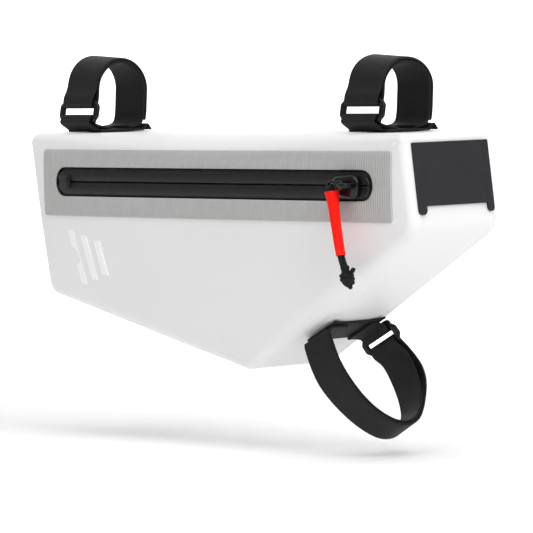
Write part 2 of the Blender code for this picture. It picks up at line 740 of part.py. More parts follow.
def lapped(inner, outside, lap_share, bulge):
    """A strap's whole path: the inner layer, a turn round the ring's bar, and the lap back over it."""
    through = ring_reach()[0]
    slope = unit(np.gradient(inner, axis=0))
    normal = np.stack([-slope[:, 1], slope[:, 0]], 1) * outside
    heading, away = slope[-1], normal[-1]
    bar = inner[-1] + away * through
    back = inner[::-1]
    run = np.concatenate([[0], np.cumsum(np.linalg.norm(np.diff(back, axis=0), axis=1))])
    lap = run[-1] * lap_share
    clear = RING_BAR / 2 + 2 * GAP
    settled = clear + 2 * LAP_SETTLE
    steps = np.concatenate([np.linspace(0, settled, LAP_STEPS), run[(run > settled + GAP) & (run < lap - GAP)], [lap]])
    snug = STRAP_THICKNESS + GAP
    stand = snug + (2 * through - snug) * np.exp(-(np.maximum(steps - clear, 0) / LAP_SETTLE) ** 2)
    stand = stand + bulge * swell(steps / lap)
    place = np.stack([np.interp(steps, run, back[:, k]) for k in range(2)], 1)
    side = unit(np.stack([np.interp(steps, run, normal[::-1][:, k]) for k in range(2)], 1))
    outer = place + side * stand[:, None]
    return np.vstack([inner, bend(bar, heading, away), outer]), bar, heading, away


def make_ring(name, frame, bar, heading, size, finish):
    """A flat ring with cut corners and one slot; its far bar lies at the strap's turn."""
    strap_width, height = size
    origin, run, out = frame[:3]
    down = np.array((0, 1, 0)) * heading[0] + out * heading[1]
    through = np.cross(run, down)
    centre = origin + np.array((0, 1, 0)) * bar[0] + out * bar[1]
    centre = centre + down * (height - RING_BAR) / 2
    face, rim = RING_THICKNESS / 2, RING_THICKNESS / 2 - RING_EDGE
    wide, tall = strap_width / 2 + RING_SIDE, height / 2
    slot_wide, slot_tall = strap_width / 2 + GAP, height / 2 - RING_BAR
    section = (
        (wide, tall, RING_CHAMFER, -rim),
        (wide, tall, RING_CHAMFER, rim),
        (wide - RING_EDGE, tall - RING_EDGE, RING_CHAMFER, face),
        (slot_wide + RING_EDGE, slot_tall + RING_EDGE, SLOT_CHAMFER, face),
        (slot_wide, slot_tall, SLOT_CHAMFER, rim),
        (slot_wide, slot_tall, SLOT_CHAMFER, -rim),
        (slot_wide + RING_EDGE, slot_tall + RING_EDGE, SLOT_CHAMFER, -face),
        (wide - RING_EDGE, tall - RING_EDGE, RING_CHAMFER, -face),
    )
    loops = []
    for half_l, half_h, c, rise in section:
        loop = [(half_l, half_h - c), (half_l - c, half_h), (c - half_l, half_h), (-half_l, half_h - c),
                (-half_l, c - half_h), (c - half_l, -half_h), (half_l - c, -half_h), (half_l, c - half_h)]
        loops.append([centre + run * a + down * b + through * rise for a, b in loop])
    return loft(name, loops, finish, path_closed=True)


def make_base(name, frame, strap_width, finish):
    """The sewn patch under a strap: it follows the gusset and flares at both ends."""
    y = np.array((-0.5, -BASE_KNEE, -BASE_FLAT, BASE_FLAT, BASE_KNEE, 0.5)) * BASE_DEPTH
    height = surface_height(frame, y) + GAP + BASE_THICKNESS / 2
    widths = BASE_WIDTH - STRAP_WIDTH + strap_width + 2 * BASE_FLARE * np.array((1.0, 0.3, 0.0, 0.0, 0.3, 1.0))
    return ribbon(name, frame, np.stack([y, height], 1), widths, BASE_THICKNESS, finish)


def make_strap_set(prefix, frame, inner, ring_side, size, lap, turn, finishes):
    """Base, strap, ring and ring tab of one loop.

    ring_side is the ring's side across the bag, size the strap's width and the ring's height, lap
    the overlap's share and bulge, and turn the loop's twist and lean.
    """
    webbing, plastic = finishes
    width, ring_height = size
    make_base(prefix + "_base", frame, width, webbing)
    path, bar, heading, away = lapped(inner, ring_side, *lap)
    ribbon(prefix + "_strap", frame, path, width, STRAP_THICKNESS, webbing, *turn)
    make_ring(prefix + "_ring", frame, bar, heading, size, plastic)
    through = ring_reach()[0]
    low = bar + heading * (ring_height - RING_BAR)
    seat = strap_seat(frame)
    inside = low - away * through
    outside = low + away * through
    start = np.array((ring_side * seam_start(), seat))
    knee = np.array((ring_side * BASE_DEPTH * BASE_KNEE, seat))
    past = heading * (RING_BAR / 2 + 2 * GAP)
    rise = smooth_line([start, knee, inside + past - away * GAP, inside], 4)
    foot = np.array((ring_side * (BASE_DEPTH / 2 + GAP + STRAP_THICKNESS), seat - STRAP_THICKNESS / 2))
    fall = smooth_line([outside, outside + past + away * GAP, foot], 3)
    ribbon(prefix + "_tab", frame, np.vstack([rise, bend(low, -heading, away), fall]), width, STRAP_THICKNESS, webbing)


def top_inner_path(frame, height):
    """Inner layer of a top strap: up the far leg, over a half ellipse and out to the ring."""
    seat = strap_seat(frame)
    spring = TOP_RING_HEIGHT + TOP_LEG_SLOPE
    far = TOP_LOOP_SHIFT + TOP_LOOP_HALF
    foot = [(far * 0.60, seat), (far * 0.86, seat + STRAP_THICKNESS * 0.4), (far * 0.98, seat + STRAP_THICKNESS * 3)]
    angles = np.radians(np.linspace(0, 180, 17))
    arch = np.stack([TOP_LOOP_SHIFT + TOP_LOOP_HALF * np.cos(angles), spring + (height - spring) * np.sin(angles)], 1)
    near = TOP_LOOP_SHIFT - TOP_LOOP_HALF
    leg = [((near - TOP_RING_REACH) / 2 + (near + TOP_RING_REACH) * 0.2, spring - TOP_LEG_SLOPE / 2),
           (-TOP_RING_REACH, TOP_RING_HEIGHT)]
    return np.vstack([smooth_line(foot, 3), arch, leg])


def lower_inner_path(frame):
    """Inner layer of the lower strap: from its base, down the table's hanging loop, to the ring."""
    rows = [(row[1] * LOWER_LOOP_WIDTH, row[2] * LOWER_LOOP_DROP) for row in LOWER_LOOP]
    return smooth_line([(-seam_start(), strap_seat(frame)), *rows], 3)


def make_flap(finish):
    """The flap over the cable port: a plate on the head end with a short rounded leg at each side."""
    corners, along, outward, lengths = side_axes()
    down = -np.array((along[3][0], 0.0, along[3][1]))
    out = np.array((outward[3][0], 0.0, outward[3][1]))
    origin = np.array((corners[4][0], 0.0, corners[4][1])) + out * GAP
    half = FLAP_WIDTH / 2
    low = FLAP_TOP + FLAP_HEIGHT
    tip = low + FLAP_LEG
    loop = [(-half, FLAP_TOP), (half, FLAP_TOP)]
    for left, right in ((half - FLAP_LEG_FAR, half), (-half, -half + FLAP_LEG_NEAR)):
        middle, radius = (left + right) / 2, (right - left) / 2
        if left > 0:
            loop.append((right, low))
        loop.extend((middle + radius * np.cos(a), tip - radius + radius * np.sin(a))
                    for a in np.radians((0, 45, 90, 135, 180)))
        if left > 0:
            loop.extend([(left, low), (-half + FLAP_LEG_NEAR, low)])
    rings = [[origin + np.array((0, 1, 0)) * a + down * b + out * t for a, b in loop] for t in (0, FLAP_THICKNESS)]
    return loft("port_flap", rings, finish)


def main():
    for thing in list(bpy.data.objects):
        bpy.data.objects.remove(thing, do_unlink=True)
    white = material("white_coated_fabric", (0.80, 0.80, 0.80), 0.55)
    grey = material("grey_ribbed_fabric", (0.48, 0.48, 0.47), 0.85)
    black = material("black_tape", (0.020, 0.020, 0.022), 0.55)
    webbing = material("black_webbing", (0.022, 0.022, 0.024), 0.70)
    plastic = material("black_plastic", (0.018, 0.018, 0.020), 0.45)
    metal = material("black_coated_metal", (0.030, 0.030, 0.032), 0.30, 0.6)
    red = material("red_sleeve", (0.85, 0.06, 0.03), 0.45)
    cord = material("black_cord", (0.020, 0.020, 0.020), 0.80)
    make_body(white)
    make_surround(grey)
    make_tape("zip_tape_upper", 1, black)
    make_tape("zip_tape_lower", -1, black)
    make_zip_ends(black)
    make_slider(metal)
    make_tab(metal)
    make_cord(cord)
    make_sleeve(red)
    make_knot(cord)
    for prefix, distance, height in (
        ("tail", TOP_LENGTH - TAIL_STRAP_STATION, TAIL_LOOP_HEIGHT),
        ("head", HEAD_STRAP_STATION, HEAD_LOOP_HEIGHT),
    ):
        frame = side_frame(4, distance)
        make_strap_set(prefix, frame, top_inner_path(frame, height), -1, (STRAP_WIDTH, RING_HEIGHT),
                       (TOP_LAP_SHARE, 0.0), (0.0, TOP_LOOP_LEAN), (webbing, plastic))
    frame = side_frame(2, LOWER_STRAP_STATION)
    make_strap_set("lower", frame, lower_inner_path(frame), 1, (LOWER_STRAP_WIDTH, LOWER_RING_HEIGHT),
                   (LOWER_LAP_SHARE, LOWER_LAP_BULGE), (LOWER_LOOP_TWIST, 0.0), (webbing, plastic))
    make_flap(black)


main()
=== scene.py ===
"""Dressed model of a wedge-shaped bicycle frame bag: coated shell, zip with sleeved pull, strap loops.

Every piece is a surface worked out in the frame's own metres. The outline, the bulge of the wide
faces and the paths of the straps follow the same formulas as the solids that the pieces stand for.
"""

import math

import bmesh
import bpy
import numpy as np
from mathutils import Matrix


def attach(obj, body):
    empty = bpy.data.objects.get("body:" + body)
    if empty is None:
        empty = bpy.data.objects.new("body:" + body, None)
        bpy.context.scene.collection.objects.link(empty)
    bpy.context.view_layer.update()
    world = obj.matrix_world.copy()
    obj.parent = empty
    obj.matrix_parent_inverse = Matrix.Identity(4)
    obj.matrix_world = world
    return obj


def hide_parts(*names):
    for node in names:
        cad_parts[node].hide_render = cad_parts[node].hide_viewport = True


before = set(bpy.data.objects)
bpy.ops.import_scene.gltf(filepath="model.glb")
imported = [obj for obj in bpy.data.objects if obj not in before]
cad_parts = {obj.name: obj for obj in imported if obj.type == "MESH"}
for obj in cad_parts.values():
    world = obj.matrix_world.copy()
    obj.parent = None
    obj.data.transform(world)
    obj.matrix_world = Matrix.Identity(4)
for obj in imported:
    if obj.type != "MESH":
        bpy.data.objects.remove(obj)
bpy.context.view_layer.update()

BODY = "root"
ACROSS = np.array((0.0, 1.0, 0.0))

# Photograph: the camera's place, its lens and its small roll
VIEW_TURN = 48.0
VIEW_RISE = 3.08
VIEW_ROLL = -1.37
VIEW_DISTANCE = 2.270
VIEW_TARGET = (0.0112, 0.0, -0.0732)
FOCAL_PIXELS = 4186.0
PHOTO_PIXELS = 533.0
SENSOR_MM = 36.0

# Studio: the floor's height in the frame, heights over it, depths behind the bag, emission strengths
FLOOR_Z = -0.1720
FLOOR_GLOW = 0.05
SWEEP_GLOW = 0.80
SWEEP_START = 0.6
SWEEP_FLAT_END = 1.8
SWEEP_CENTRE = 3.0
SWEEP_RADIUS = 1.5
SWEEP_TOP = 5.0
STAGE_REACH = 6.0
WORLD_STRENGTH = 0.27
SOFTBOXES = (  # name, place, side of the square in metres, watts
    ("head_softbox", (3.2, -0.5, 2.0), 2.0, 50.0),
    ("top_softbox", (1.0, -0.78, 2.9), 3.4, 77.0),
)

# Outline of the bag seen from the zip side
TOP_LENGTH = 0.3060
TAIL_HEIGHT = 0.0895
TAIL_LEAN = 0.0158
BELLY_SETBACK = 0.1820
BELLY_DEPTH = 0.1270
HEAD_HEIGHT = 0.0510
HEAD_LEAN = 0.0066
BAG_WIDTH = 0.0640
WALL = 0.0018
CORNER_RADII = (0.0060, 0.0080, 0.0110, 0.0100, 0.0050)
SIDES = (  # side, edge radius at its middle, bow of the side, crown across the width
    ("tail", 0.0055, 0.0006, 0.0010),
    ("belly", 0.0080, 0.0010, 0.0015),
    ("slant", 0.0120, 0.0020, 0.0020),
    ("head", 0.0045, 0.0000, 0.0000),
    ("top", 0.0130, 0.0000, 0.0000),
)
EDGE_RADIUS = 0.0050
CORNER_EDGE_SHARE = 0.75
FACE_BULGE = 0.0048
BULGE_REACH = 0.0220
SPINE_INSET = 0.0500
SPINE_DROP = 0.0400
GAP = 0.0003
SHELL_PITCH = 0.0021
TURN_WEIGHT = 0.012
WELD_RISE = 0.00022
FACE_SLACK = 0.00065
BELT_SLACK = 0.00030
SLACK_FADE = 0.012
WAVE_COUNT = 5
WAVE_SEED = 7
WAVE_LENGTHS = (0.045, 0.110)
CORNER_DENT = 0.0009
BASE_SAG = 0.0004

# Zip
SURROUND_LENGTH = 0.2820
SURROUND_HEIGHT = 0.0370
SURROUND_RADIUS = 0.0022
SURROUND_THICKNESS = 0.0010
SURROUND_TAIL_INSET = 0.0164
SURROUND_DROP = 0.0275
ZIP_LENGTH = 0.2574
ZIP_HEIGHT = 0.0150
ZIP_SHIFT = -0.0008
WINDOW_MARGIN = 0.0017
TAPE_THICKNESS = 0.0010
TAPE_SPLIT = 0.0004
TAPE_FLANGE = 0.0040
FLANGE_CLEARANCE = 0.0011
END_SINK = 0.0014
END_PAD_LENGTH = 0.0100
END_PAD_HEIGHT = 0.0078
END_PAD_THICKNESS = 0.0012
END_PAD_INSET = 0.0025
OPENING_EASE = 0.0012
SPLIT_RISE = 0.0006
GARAGE_TURN = 52.0
GARAGE_RIM = 0.0018
LIP_SKIN = 0.0002
PANEL_PITCH = 0.0022
PANEL_ACROSS = (0.0, 0.0, 0.02, 0.06, 0.14, 0.3, 0.5, 0.7, 0.9, 0.96, 0.99, 1.0, 1.0, 0.5)
PANEL_PROUD = (0.02, 0.40, 0.72, 0.90, 0.97, 1.0, 1.0, 1.0, 1.0, 0.95, 0.80, 0.50, 0.02, 0.02)
TACK_THREADS = 9
TACK_PITCH = 0.00072
TACK_LENGTH = 0.0022
TACK_RADIUS = 0.0003
PAD_SHARE = 0.7

# Slider and pull
SLIDER_LENGTH = 0.0200
SLIDER_HEIGHT = 0.0126
SLIDER_DOME = 0.0030
SLIDER_ROUND = 0.38
SLIDER_END_INSET = 0.0078
BRIDGE_WIDTH = 0.0024
BRIDGE_THICKNESS = 0.0015
BRIDGE_POST = 0.0020
BRIDGE_SPAN = 0.0044
BRIDGE_SHIFT = 0.0055
TAB_LENGTH = 0.0115
TAB_HEIGHT = 0.0050
TAB_THICKNESS = 0.0016
TAB_RISE = 0.0010
TAB_BAR = 0.0009
TAB_EYE = 0.0042
TAB_RUNNING_GAP = 0.0004
CORD_DIAMETER = 0.0021
SLEEVE_WALL = 0.0005
SLEEVE_FLARE = 0.0018
SLEEVE_LENGTH = 0.0337
KNOT_LENGTH = 0.0125
KNOT_WIDTH = 0.0078
KNOT_ENDS = (  # where each cut end starts and ends, across and above the middle, and its lean back
    ((0.0010, 0.0020), (0.0040, 0.0059), -0.0012),
    ((0.0015, 0.0008), (0.0063, 0.0034), 0.0008),
    ((0.0000, -0.0035), (0.0009, -0.0062), 0.0),
)
CORD_ROUTE = (  # along X and Z from the tab's eye
    (0.0003, -0.0030),
    (0.0012, -0.0095),
    (0.0022, -0.0160),
    (0.0034, -0.0230),
    (0.0047, -0.0300),
    (0.0062, -0.0365),
    (0.0079, -0.0412),
)

# Straps, rings and sewn bases
STRAP_WIDTH = 0.0250
STRAP_THICKNESS = 0.0014
SELVEDGE = 0.0021
RING_SIDE = 0.0040
RING_HEIGHT = 0.0124
RING_THICKNESS = 0.0024
RING_BAR = 0.0027
RING_CHAMFER = 0.0030
RING_EDGE = 0.0009
SLOT_CHAMFER = 0.0007
BEND_FULLNESS = 0.65
LAP_SETTLE = 0.0050
TURN_START = 0.40
TURN_END = 0.90
PATH_STEP = 0.0005
STRAP_BLUR = 0.00045
ARCH_BLUR = 0.0012
LOOP_BLUR = 0.0006
BASE_THICKNESS = 0.0012
BASE_DEPTH = 0.0360
BASE_WIDTH = 0.0260
BASE_FLARE = 0.0020
BASE_FLAT = 0.22
BASE_KNEE = 0.36
TAIL_STRAP_STATION = 0.0350
TAIL_LOOP_HEIGHT = 0.0399
HEAD_STRAP_STATION = 0.0400
HEAD_LOOP_HEIGHT = 0.0376
TOP_LOOP_HALF = 0.0167
TOP_LOOP_SHIFT = -0.0009
TOP_LOOP_LEAN = 3.7
TOP_LAP_SHARE = 0.875
TOP_FOOT = ((0.30, 0.0), (0.62, 0.4), (0.82, 1.4), (0.89, 3.0), (0.94, 6.0))
FOOT_FOLD = 0.0034
FOLD_START = 0.0140
FOLD_PEAK = 0.0158
TOP_RING_HEIGHT = 0.0162
TOP_RING_REACH = 0.0187
TOP_LEG_SLOPE = 0.0080
LOWER_STRAP_WIDTH = 0.0205
LOWER_RING_HEIGHT = 0.0108
LOWER_STRAP_STATION = 0.0497
LOWER_LOOP_WIDTH = 0.0560
LOWER_LOOP_DROP = 0.0608
LOWER_LAP_SHARE = 0.90
LOWER_BULGE_SHARE = 0.30
LOWER_LAP_BULGE = 0.0040
LOWER_LOOP_TWIST = -7.5
LOWER_LOOP = (  # shares of the loop's width and drop, from the base to the ring
    (-0.362, 0.050), (-0.404, 0.170), (-0.385, 0.420), (-0.270, 0.660), (-0.100, 0.848),
    (0.100, 0.958), (0.300, 0.950), (0.445, 0.835), (0.505, 0.665), (0.512, 0.480),
    (0.478, 0.330), (0.399, 0.249), (0.379, 0.2105),
)

# Cable-port flap
FLAP_WIDTH = 0.0545
FLAP_TOP = 0.0050
FLAP_HEIGHT = 0.0330
FLAP_LEG = 0.0045
FLAP_LEG_NEAR = 0.0058
FLAP_LEG_FAR = 0.0046
FLAP_THICKNESS = 0.0012

# Print: leaning bars, each shorter than the one before
PRINT_BARS = 3
PRINT_WIDTH = 0.0050
PRINT_HEIGHT = 0.0300
PRINT_STEP = 0.0055
PRINT_PITCH = 0.0105
PRINT_LEAN = 0.34
PRINT_PLACE = (-0.108, -0.0690)


# ---- Shape helpers

def unit(vector):
    """The same direction, one long."""
    return vector / np.linalg.norm(vector, axis=-1, keepdims=True)


def swell(share):
    """0 at both ends and 1 in the middle: the square of a half sine."""
    return np.sin(np.pi * np.clip(share, 0, 1)) ** 2


def ease(value):
    """0 below 0, 1 above 1 and a smooth step between."""
    value = np.clip(value, 0, 1)
    return value * value * (3 - 2 * value)


def run_lengths(points):
    """Distance along a line of points, 0 at the first."""
    return np.concatenate([[0], np.cumsum(np.linalg.norm(np.diff(points, axis=0), axis=1))])


def smooth_line(points, steps):
    """A Catmull-Rom curve through the points, with so many steps between neighbours."""
    points = np.asarray(points, float)
    padded = np.vstack([2 * points[0] - points[1], points, 2 * points[-1] - points[-2]])
    share = np.linspace(0, 1, steps, endpoint=False)[None, :, None]
    a, b, c, d = (padded[k:len(padded) - 3 + k, None, :] for k in range(4))
    runs = 0.5 * (2 * b + (c - a) * share + (2 * a - 5 * b + 4 * c - d) * share**2
                  + (3 * b - a - 3 * c + d) * share**3)
    return np.vstack([runs.reshape(-1, points.shape[1]), points[-1:]])


def even_line(points, step, blur):
    """The same line at even steps, its joints softened by a Gaussian window of the given width."""
    run = run_lengths(points)
    places = np.linspace(0, run[-1], int(round(run[-1] / step)) + 1)
    even = np.stack([np.interp(places, run, points[:, k]) for k in range(points.shape[1])], 1)
    reach = int(3 * blur / step) + 1
    window = np.exp(-0.5 * (np.arange(-reach, reach + 1) * step / blur) ** 2)
    window /= window.sum()
    first = even[0] - (even[1] - even[0]) * np.arange(reach, 0, -1)[:, None]
    last = even[-1] + (even[-1] - even[-2]) * np.arange(1, reach + 1)[:, None]
    padded = np.vstack([first, even, last])
    return np.stack([np.convolve(padded[:, k], window, "valid") for k in range(points.shape[1])], 1)


def rounded_loop(length, height, radii, steps):
    """Points round a rectangle whose four corners are quarter circles of the given radii."""
    radii = np.broadcast_to(radii, 4)
    angle = np.linspace(0, np.pi / 2, steps + 1)[None, :] + np.arange(4)[:, None] * np.pi / 2
    signs = np.array(((1, 1), (-1, 1), (-1, -1), (1, -1)))
    x = signs[:, :1] * (length / 2 - radii[:, None]) + radii[:, None] * np.cos(angle)
    z = signs[:, 1:] * (height / 2 - radii[:, None]) + radii[:, None] * np.sin(angle)
    return np.stack([x.ravel(), z.ravel()], 1)


def plate_rings(length, height, radii, thickness, edge, steps, under=0.0):
    """Rings of a plate lying on its plane: straight sides and a quarter round along the top edge."""
    angles = np.radians(np.linspace(0, 90, 6))
    insets = np.concatenate([[0.0], edge * (1 - np.cos(angles)), [edge + 0.0004]])
    levels = np.concatenate([[under], thickness - edge + edge * np.sin(angles), [thickness]])
    radii = np.broadcast_to(radii, 4)
    rings = []
    for inset, level in zip(insets, levels):
        loop = rounded_loop(length - 2 * inset, height - 2 * inset, np.maximum(radii - inset, 0.0001), steps)
        rings.append(np.column_stack([loop, np.full(len(loop), level)]))
    return np.array(rings)


def grid_faces(rows, columns, rows_wrap, columns_wrap):
    """Quads between neighbours of a grid, and the unwrapped row and column of every corner."""
    row = np.arange(rows if rows_wrap else rows - 1)[:, None, None]
    column = np.arange(columns if columns_wrap else columns - 1)[None, :, None]
    corner_row = row + np.array((0, 0, 1, 1))
    corner_column = column + np.array((0, 1, 1, 0))
    corner_row, corner_column = np.broadcast_arrays(corner_row, corner_column)
    faces = (corner_row % rows) * columns + corner_column % columns
    return faces.reshape(-1, 4), corner_row.reshape(-1), corner_column.reshape(-1)


def finish_mesh(name, mesh, material, sharp=40.0, merge=0.0):
    """Turns the faces outwards, welds doubles, shades smooth and makes the object."""
    work = bmesh.new()
    work.from_mesh(mesh)
    if merge:
        bmesh.ops.remove_doubles(work, verts=work.verts, dist=merge)
    bmesh.ops.recalc_face_normals(work, faces=work.faces)
    work.to_mesh(mesh)
    work.free()
    mesh.materials.clear()
    mesh.materials.append(material)
    mesh.shade_smooth()
    mesh.set_sharp_from_angle(angle=math.radians(sharp))
    thing = bpy.data.objects.new(name, mesh)
    bpy.context.scene.collection.objects.link(thing)
    return thing


def skin(name, shells, material, sharp=40.0, merge=0.0):
    """One object from stacks of rings; a shell is its rings, or its rings and whether the stack closes.

    Quads join neighbouring rings, and a flat cap closes each end of an open stack. The UV map holds
    real metres: round the ring and along the stack.
    """
    points, faces, spots, base = [], [], [], 0
    for shell in shells:
        rings, closes = shell if isinstance(shell, tuple) else (shell, False)
        count, around = rings.shape[:2]
        quads, rows, columns = grid_faces(count, around, closes, True)
        points.append(rings.reshape(-1, 3))
        faces.extend((quads + base).tolist())
        ring = rings[count // 2]
        u = run_lengths(np.vstack([ring, ring[:1]]))
        middle = rings.mean(axis=1)
        v = run_lengths(np.vstack([middle, middle[:1]]))
        spots.append(np.stack([u[columns], v[rows]], 1))
        if not closes:
            low = np.arange(around)
            faces.extend([(low[::-1] + base).tolist(), (low + base + (count - 1) * around).tolist()])
            spots.append(np.zeros((2 * around, 2)))
        base += count * around
    mesh = bpy.data.meshes.new(name)
    mesh.from_pydata(np.vstack(points).tolist(), [], faces)
    layer = mesh.uv_layers.new(name="metres")
    layer.data.foreach_set("uv", np.vstack(spots).ravel())
    return finish_mesh(name, mesh, material, sharp, merge)


def evaluated(thing, name, material, sharp=40.0):
    """A plain copy of an object with its modifiers applied; the object itself is removed."""
    depsgraph = bpy.context.evaluated_depsgraph_get()
    mesh = bpy.data.meshes.new_from_object(thing.evaluated_get(depsgraph))
    bpy.data.objects.remove(thing, do_unlink=True)
    mesh.name = name
    return finish_mesh(name, mesh, material, sharp)


def cut(thing, cutters, solver="EXACT"):
    """Takes the cutters out of an object."""
    for cutter in cutters:
        step = thing.modifiers.new(cutter.name, "BOOLEAN")
        step.operation = "DIFFERENCE"
        step.solver = solver
        step.object = cutter


def tube_rings(path, radius, around, reference, soft_ends=(False, False)):
    """Rings round a path: a circle square to it, its start turned from a reference direction."""
    slope = unit(np.gradient(path, axis=0))
    u = unit(np.cross(slope, reference))
    v = np.cross(slope, u)
    angle = np.linspace(0, 2 * np.pi, around, endpoint=False)
    circle = u[:, None, :] * np.cos(angle)[None, :, None] + v[:, None, :] * np.sin(angle)[None, :, None]
    run = run_lengths(path)
    size = np.full(len(path), float(radius))
    for soft, near in zip(soft_ends, (run, run[-1] - run)):
        if soft:
            size = size * np.sqrt(np.clip(1 - np.clip(1 - near / radius, 0, 1) ** 2, 0.04, 1))
    return path[:, None, :] + circle * size[:, None, None]


def fit(piece, slot, *nodes):
    """The piece rides on the bag's one body and stands for CAD nodes. The slot is not used."""
    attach(piece, BODY)
    if nodes:
        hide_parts(*nodes)
    return piece


# ---- The bag's own surface

def side_axes():
    """Start, direction, outward normal and length of each of the five sides."""
    half = TOP_LENGTH / 2
    corners = np.array([(-half, 0.0), (-half + TAIL_LEAN, -TAIL_HEIGHT),
                        (-half + BELLY_SETBACK, -BELLY_DEPTH), (half + HEAD_LEAN, -HEAD_HEIGHT), (half, 0.0)])
    ends = np.roll(corners, -1, axis=0)
    along = unit(ends - corners)
    return corners, along, np.stack([along[:, 1], -along[:, 0]], 1), np.linalg.norm(ends - corners, axis=1)


def side_depths(x, z):
    """Distance inside each side and share of the way along it, for every point."""
    corners, along, outward, lengths = side_axes()
    for row, corner, direction, normal, length in zip(SIDES, corners, along, outward, lengths):
        share = ((x - corner[0]) * direction[0] + (z - corner[1]) * direction[1]) / length
        yield row, (corner[0] - x) * normal[0] + (corner[1] - z) * normal[1], share


def face_bulge(x, z):
    """How far a wide face stands out: it swells away from every side, by 1 minus an exponential."""
    total = np.full(np.broadcast(x, z).shape, FACE_BULGE)
    for _, depth, _ in side_depths(x, z):
        total = total * (1 - np.exp(-np.maximum(depth, 0) / BULGE_REACH))
    return total


def front_y(x, z):
    """Y of the zip face at a point: flat, less the rounding of near sides, plus the bulge."""
    back = np.zeros(np.broadcast(x, z).shape)
    for row, depth, share in side_depths(x, z):
        radius = EDGE_RADIUS + (row[1] - EDGE_RADIUS) * swell(share)
        short = np.clip(radius - depth - row[2] * swell(share), 0, radius * 0.95)
        back = back + radius - np.sqrt(radius**2 - short**2)
    return -BAG_WIDTH / 2 + back - face_bulge(x, z)


def outline(corner_steps=24, side_steps=160):
    """Dense points round the outline with normals, edge radii and crowns."""
    corners, along, outward, lengths = side_axes()
    radii = np.array(CORNER_RADII)
    turns = np.arccos(np.clip(np.sum(along * np.roll(along, 1, axis=0), axis=1), -1, 1))
    trims = radii * np.tan(turns / 2)
    rows = []
    for k, row in enumerate(SIDES):
        before = outward[k - 1]
        centre = corners[k] - before * radii[k] - along[k - 1] * trims[k]
        angle = np.linspace(0, turns[k], corner_steps + 1)[:, None]
        normal = before * np.cos(angle) + along[k - 1] * np.sin(angle)
        edge = np.full(len(angle), min(EDGE_RADIUS, radii[k] * CORNER_EDGE_SHARE))
        rows.append(np.column_stack([centre + normal * radii[k], normal, edge, np.zeros(len(angle))]))
        run = lengths[k] - trims[k] - trims[(k + 1) % len(SIDES)]
        place = trims[k] + run * np.arange(1, side_steps) / side_steps
        rise = swell(place / lengths[k])
        points = corners[k] + along[k] * place[:, None] + outward[k] * (row[2] * rise)[:, None]
        edge = EDGE_RADIUS + (row[1] - EDGE_RADIUS) * rise
        rows.append(np.column_stack([points, np.tile(outward[k], (len(place), 1)), edge, row[3] * rise]))
    return np.vstack(rows)


def outline_columns():
    """The outline at the shell's columns, which above and below the spine lie at even X stations.

    Round the ends they are evenly spread by length plus a weight for every radian of turn.
    """
    dense = outline()
    side = len(dense) // len(SIDES)
    dense = np.vstack([dense, dense[:1]])
    inset_x = dense[:, 0] - dense[:, 2] * dense[:, 4]
    step = np.linalg.norm(np.diff(dense[:, :2], axis=0), axis=1)
    turn = np.linalg.norm(np.diff(dense[:, 2:4], axis=0), axis=1)
    weight = np.concatenate([[0], np.cumsum(step + TURN_WEIGHT * turn)])
    reach = TOP_LENGTH / 2 - SPINE_INSET
    stations = np.linspace(-reach, reach, int(2 * reach / SHELL_PITCH))
    index = np.arange(float(len(dense)))
    low = (index >= side) & (index < 3 * side) & (dense[:, 1] < -HEAD_HEIGHT)
    high = (index >= 4 * side) & (dense[:, 1] > -0.002)
    below = np.interp(stations, inset_x[low], index[low])
    above = np.interp(-stations[::-1], -inset_x[high], index[high])
    first, last = np.interp((below[-1], above[0]), index, weight)
    head = np.linspace(first, last, int((last - first) / SHELL_PITCH))
    first, last = np.interp(above[-1], index, weight), np.interp(below[0], index, weight) + weight[-1]
    tail = np.linspace(first, last, int((last - first) / SHELL_PITCH)) % weight[-1]
    columns = np.concatenate([below, np.interp(head[1:-1], weight, index), above,
                              np.interp(tail[1:-1], weight, index)])
    return np.stack([np.interp(columns, index, dense[:, k]) for k in range(dense.shape[1])], 1)


def gusset_height(index, distance, y):
    """Height of a side's surface over its straight line, at places along it and across the bag."""
    row = SIDES[index]
    rise = swell(distance / side_axes()[3][index])
    radius = EDGE_RADIUS + (row[1] - EDGE_RADIUS) * rise
    across = np.clip(np.abs(y) / (BAG_WIDTH / 2 - radius), 0, 1)
    return (row[2] + row[3] * (1 - across**4)) * rise


def side_frame(index, distance):
    """Origin and axes of a place on a side: along its surface and straight out of it."""
    corners, along, outward, _ = side_axes()
    level = float(gusset_height(index, distance, 0.0))
    slope = float(gusset_height(index, distance + BASE_WIDTH / 2, 0.0)
                  - gusset_height(index, distance - BASE_WIDTH / 2, 0.0)) / BASE_WIDTH
    flat = corners[index] + along[index] * distance + outward[index] * level
    run = unit(along[index] + outward[index] * slope)
    out = unit(outward[index] - along[index] * slope)
    place = (index, distance, level, slope)
    origin, run, out = (np.array((pair[0], 0.0, pair[1])) for pair in (flat, run, out))
    return origin, run, out, place


STRAP_FRAMES = {
    "tail": side_frame(4, TOP_LENGTH - TAIL_STRAP_STATION),
    "head": side_frame(4, HEAD_STRAP_STATION),
    "lower": side_frame(2, LOWER_STRAP_STATION),
}


def pucker(points):
    """Depth of the small dents where the corners of the sewn bases pull the fabric in."""
    depth = np.zeros(points.shape[:-1])
    for place in STRAP_FRAMES.values():
        local = points - place[0]
        along = local @ place[1]
        near = np.exp(-((local @ place[2]) / 0.012) ** 2)
        across = points[..., 1]
        corner = np.hypot(np.abs(along) - BASE_WIDTH / 2 - 0.0022, np.abs(across) - BASE_DEPTH / 2 - 0.0010)
        fold = np.exp(-(corner / 0.0030) ** 2)
        sag = np.exp(-((np.abs(along) - BASE_WIDTH / 2 - 0.004) / 0.006) ** 2)
        sag = sag * np.exp(-(across / 0.016) ** 2)
        depth += near * (CORNER_DENT * fold + BASE_SAG * sag)
    return depth


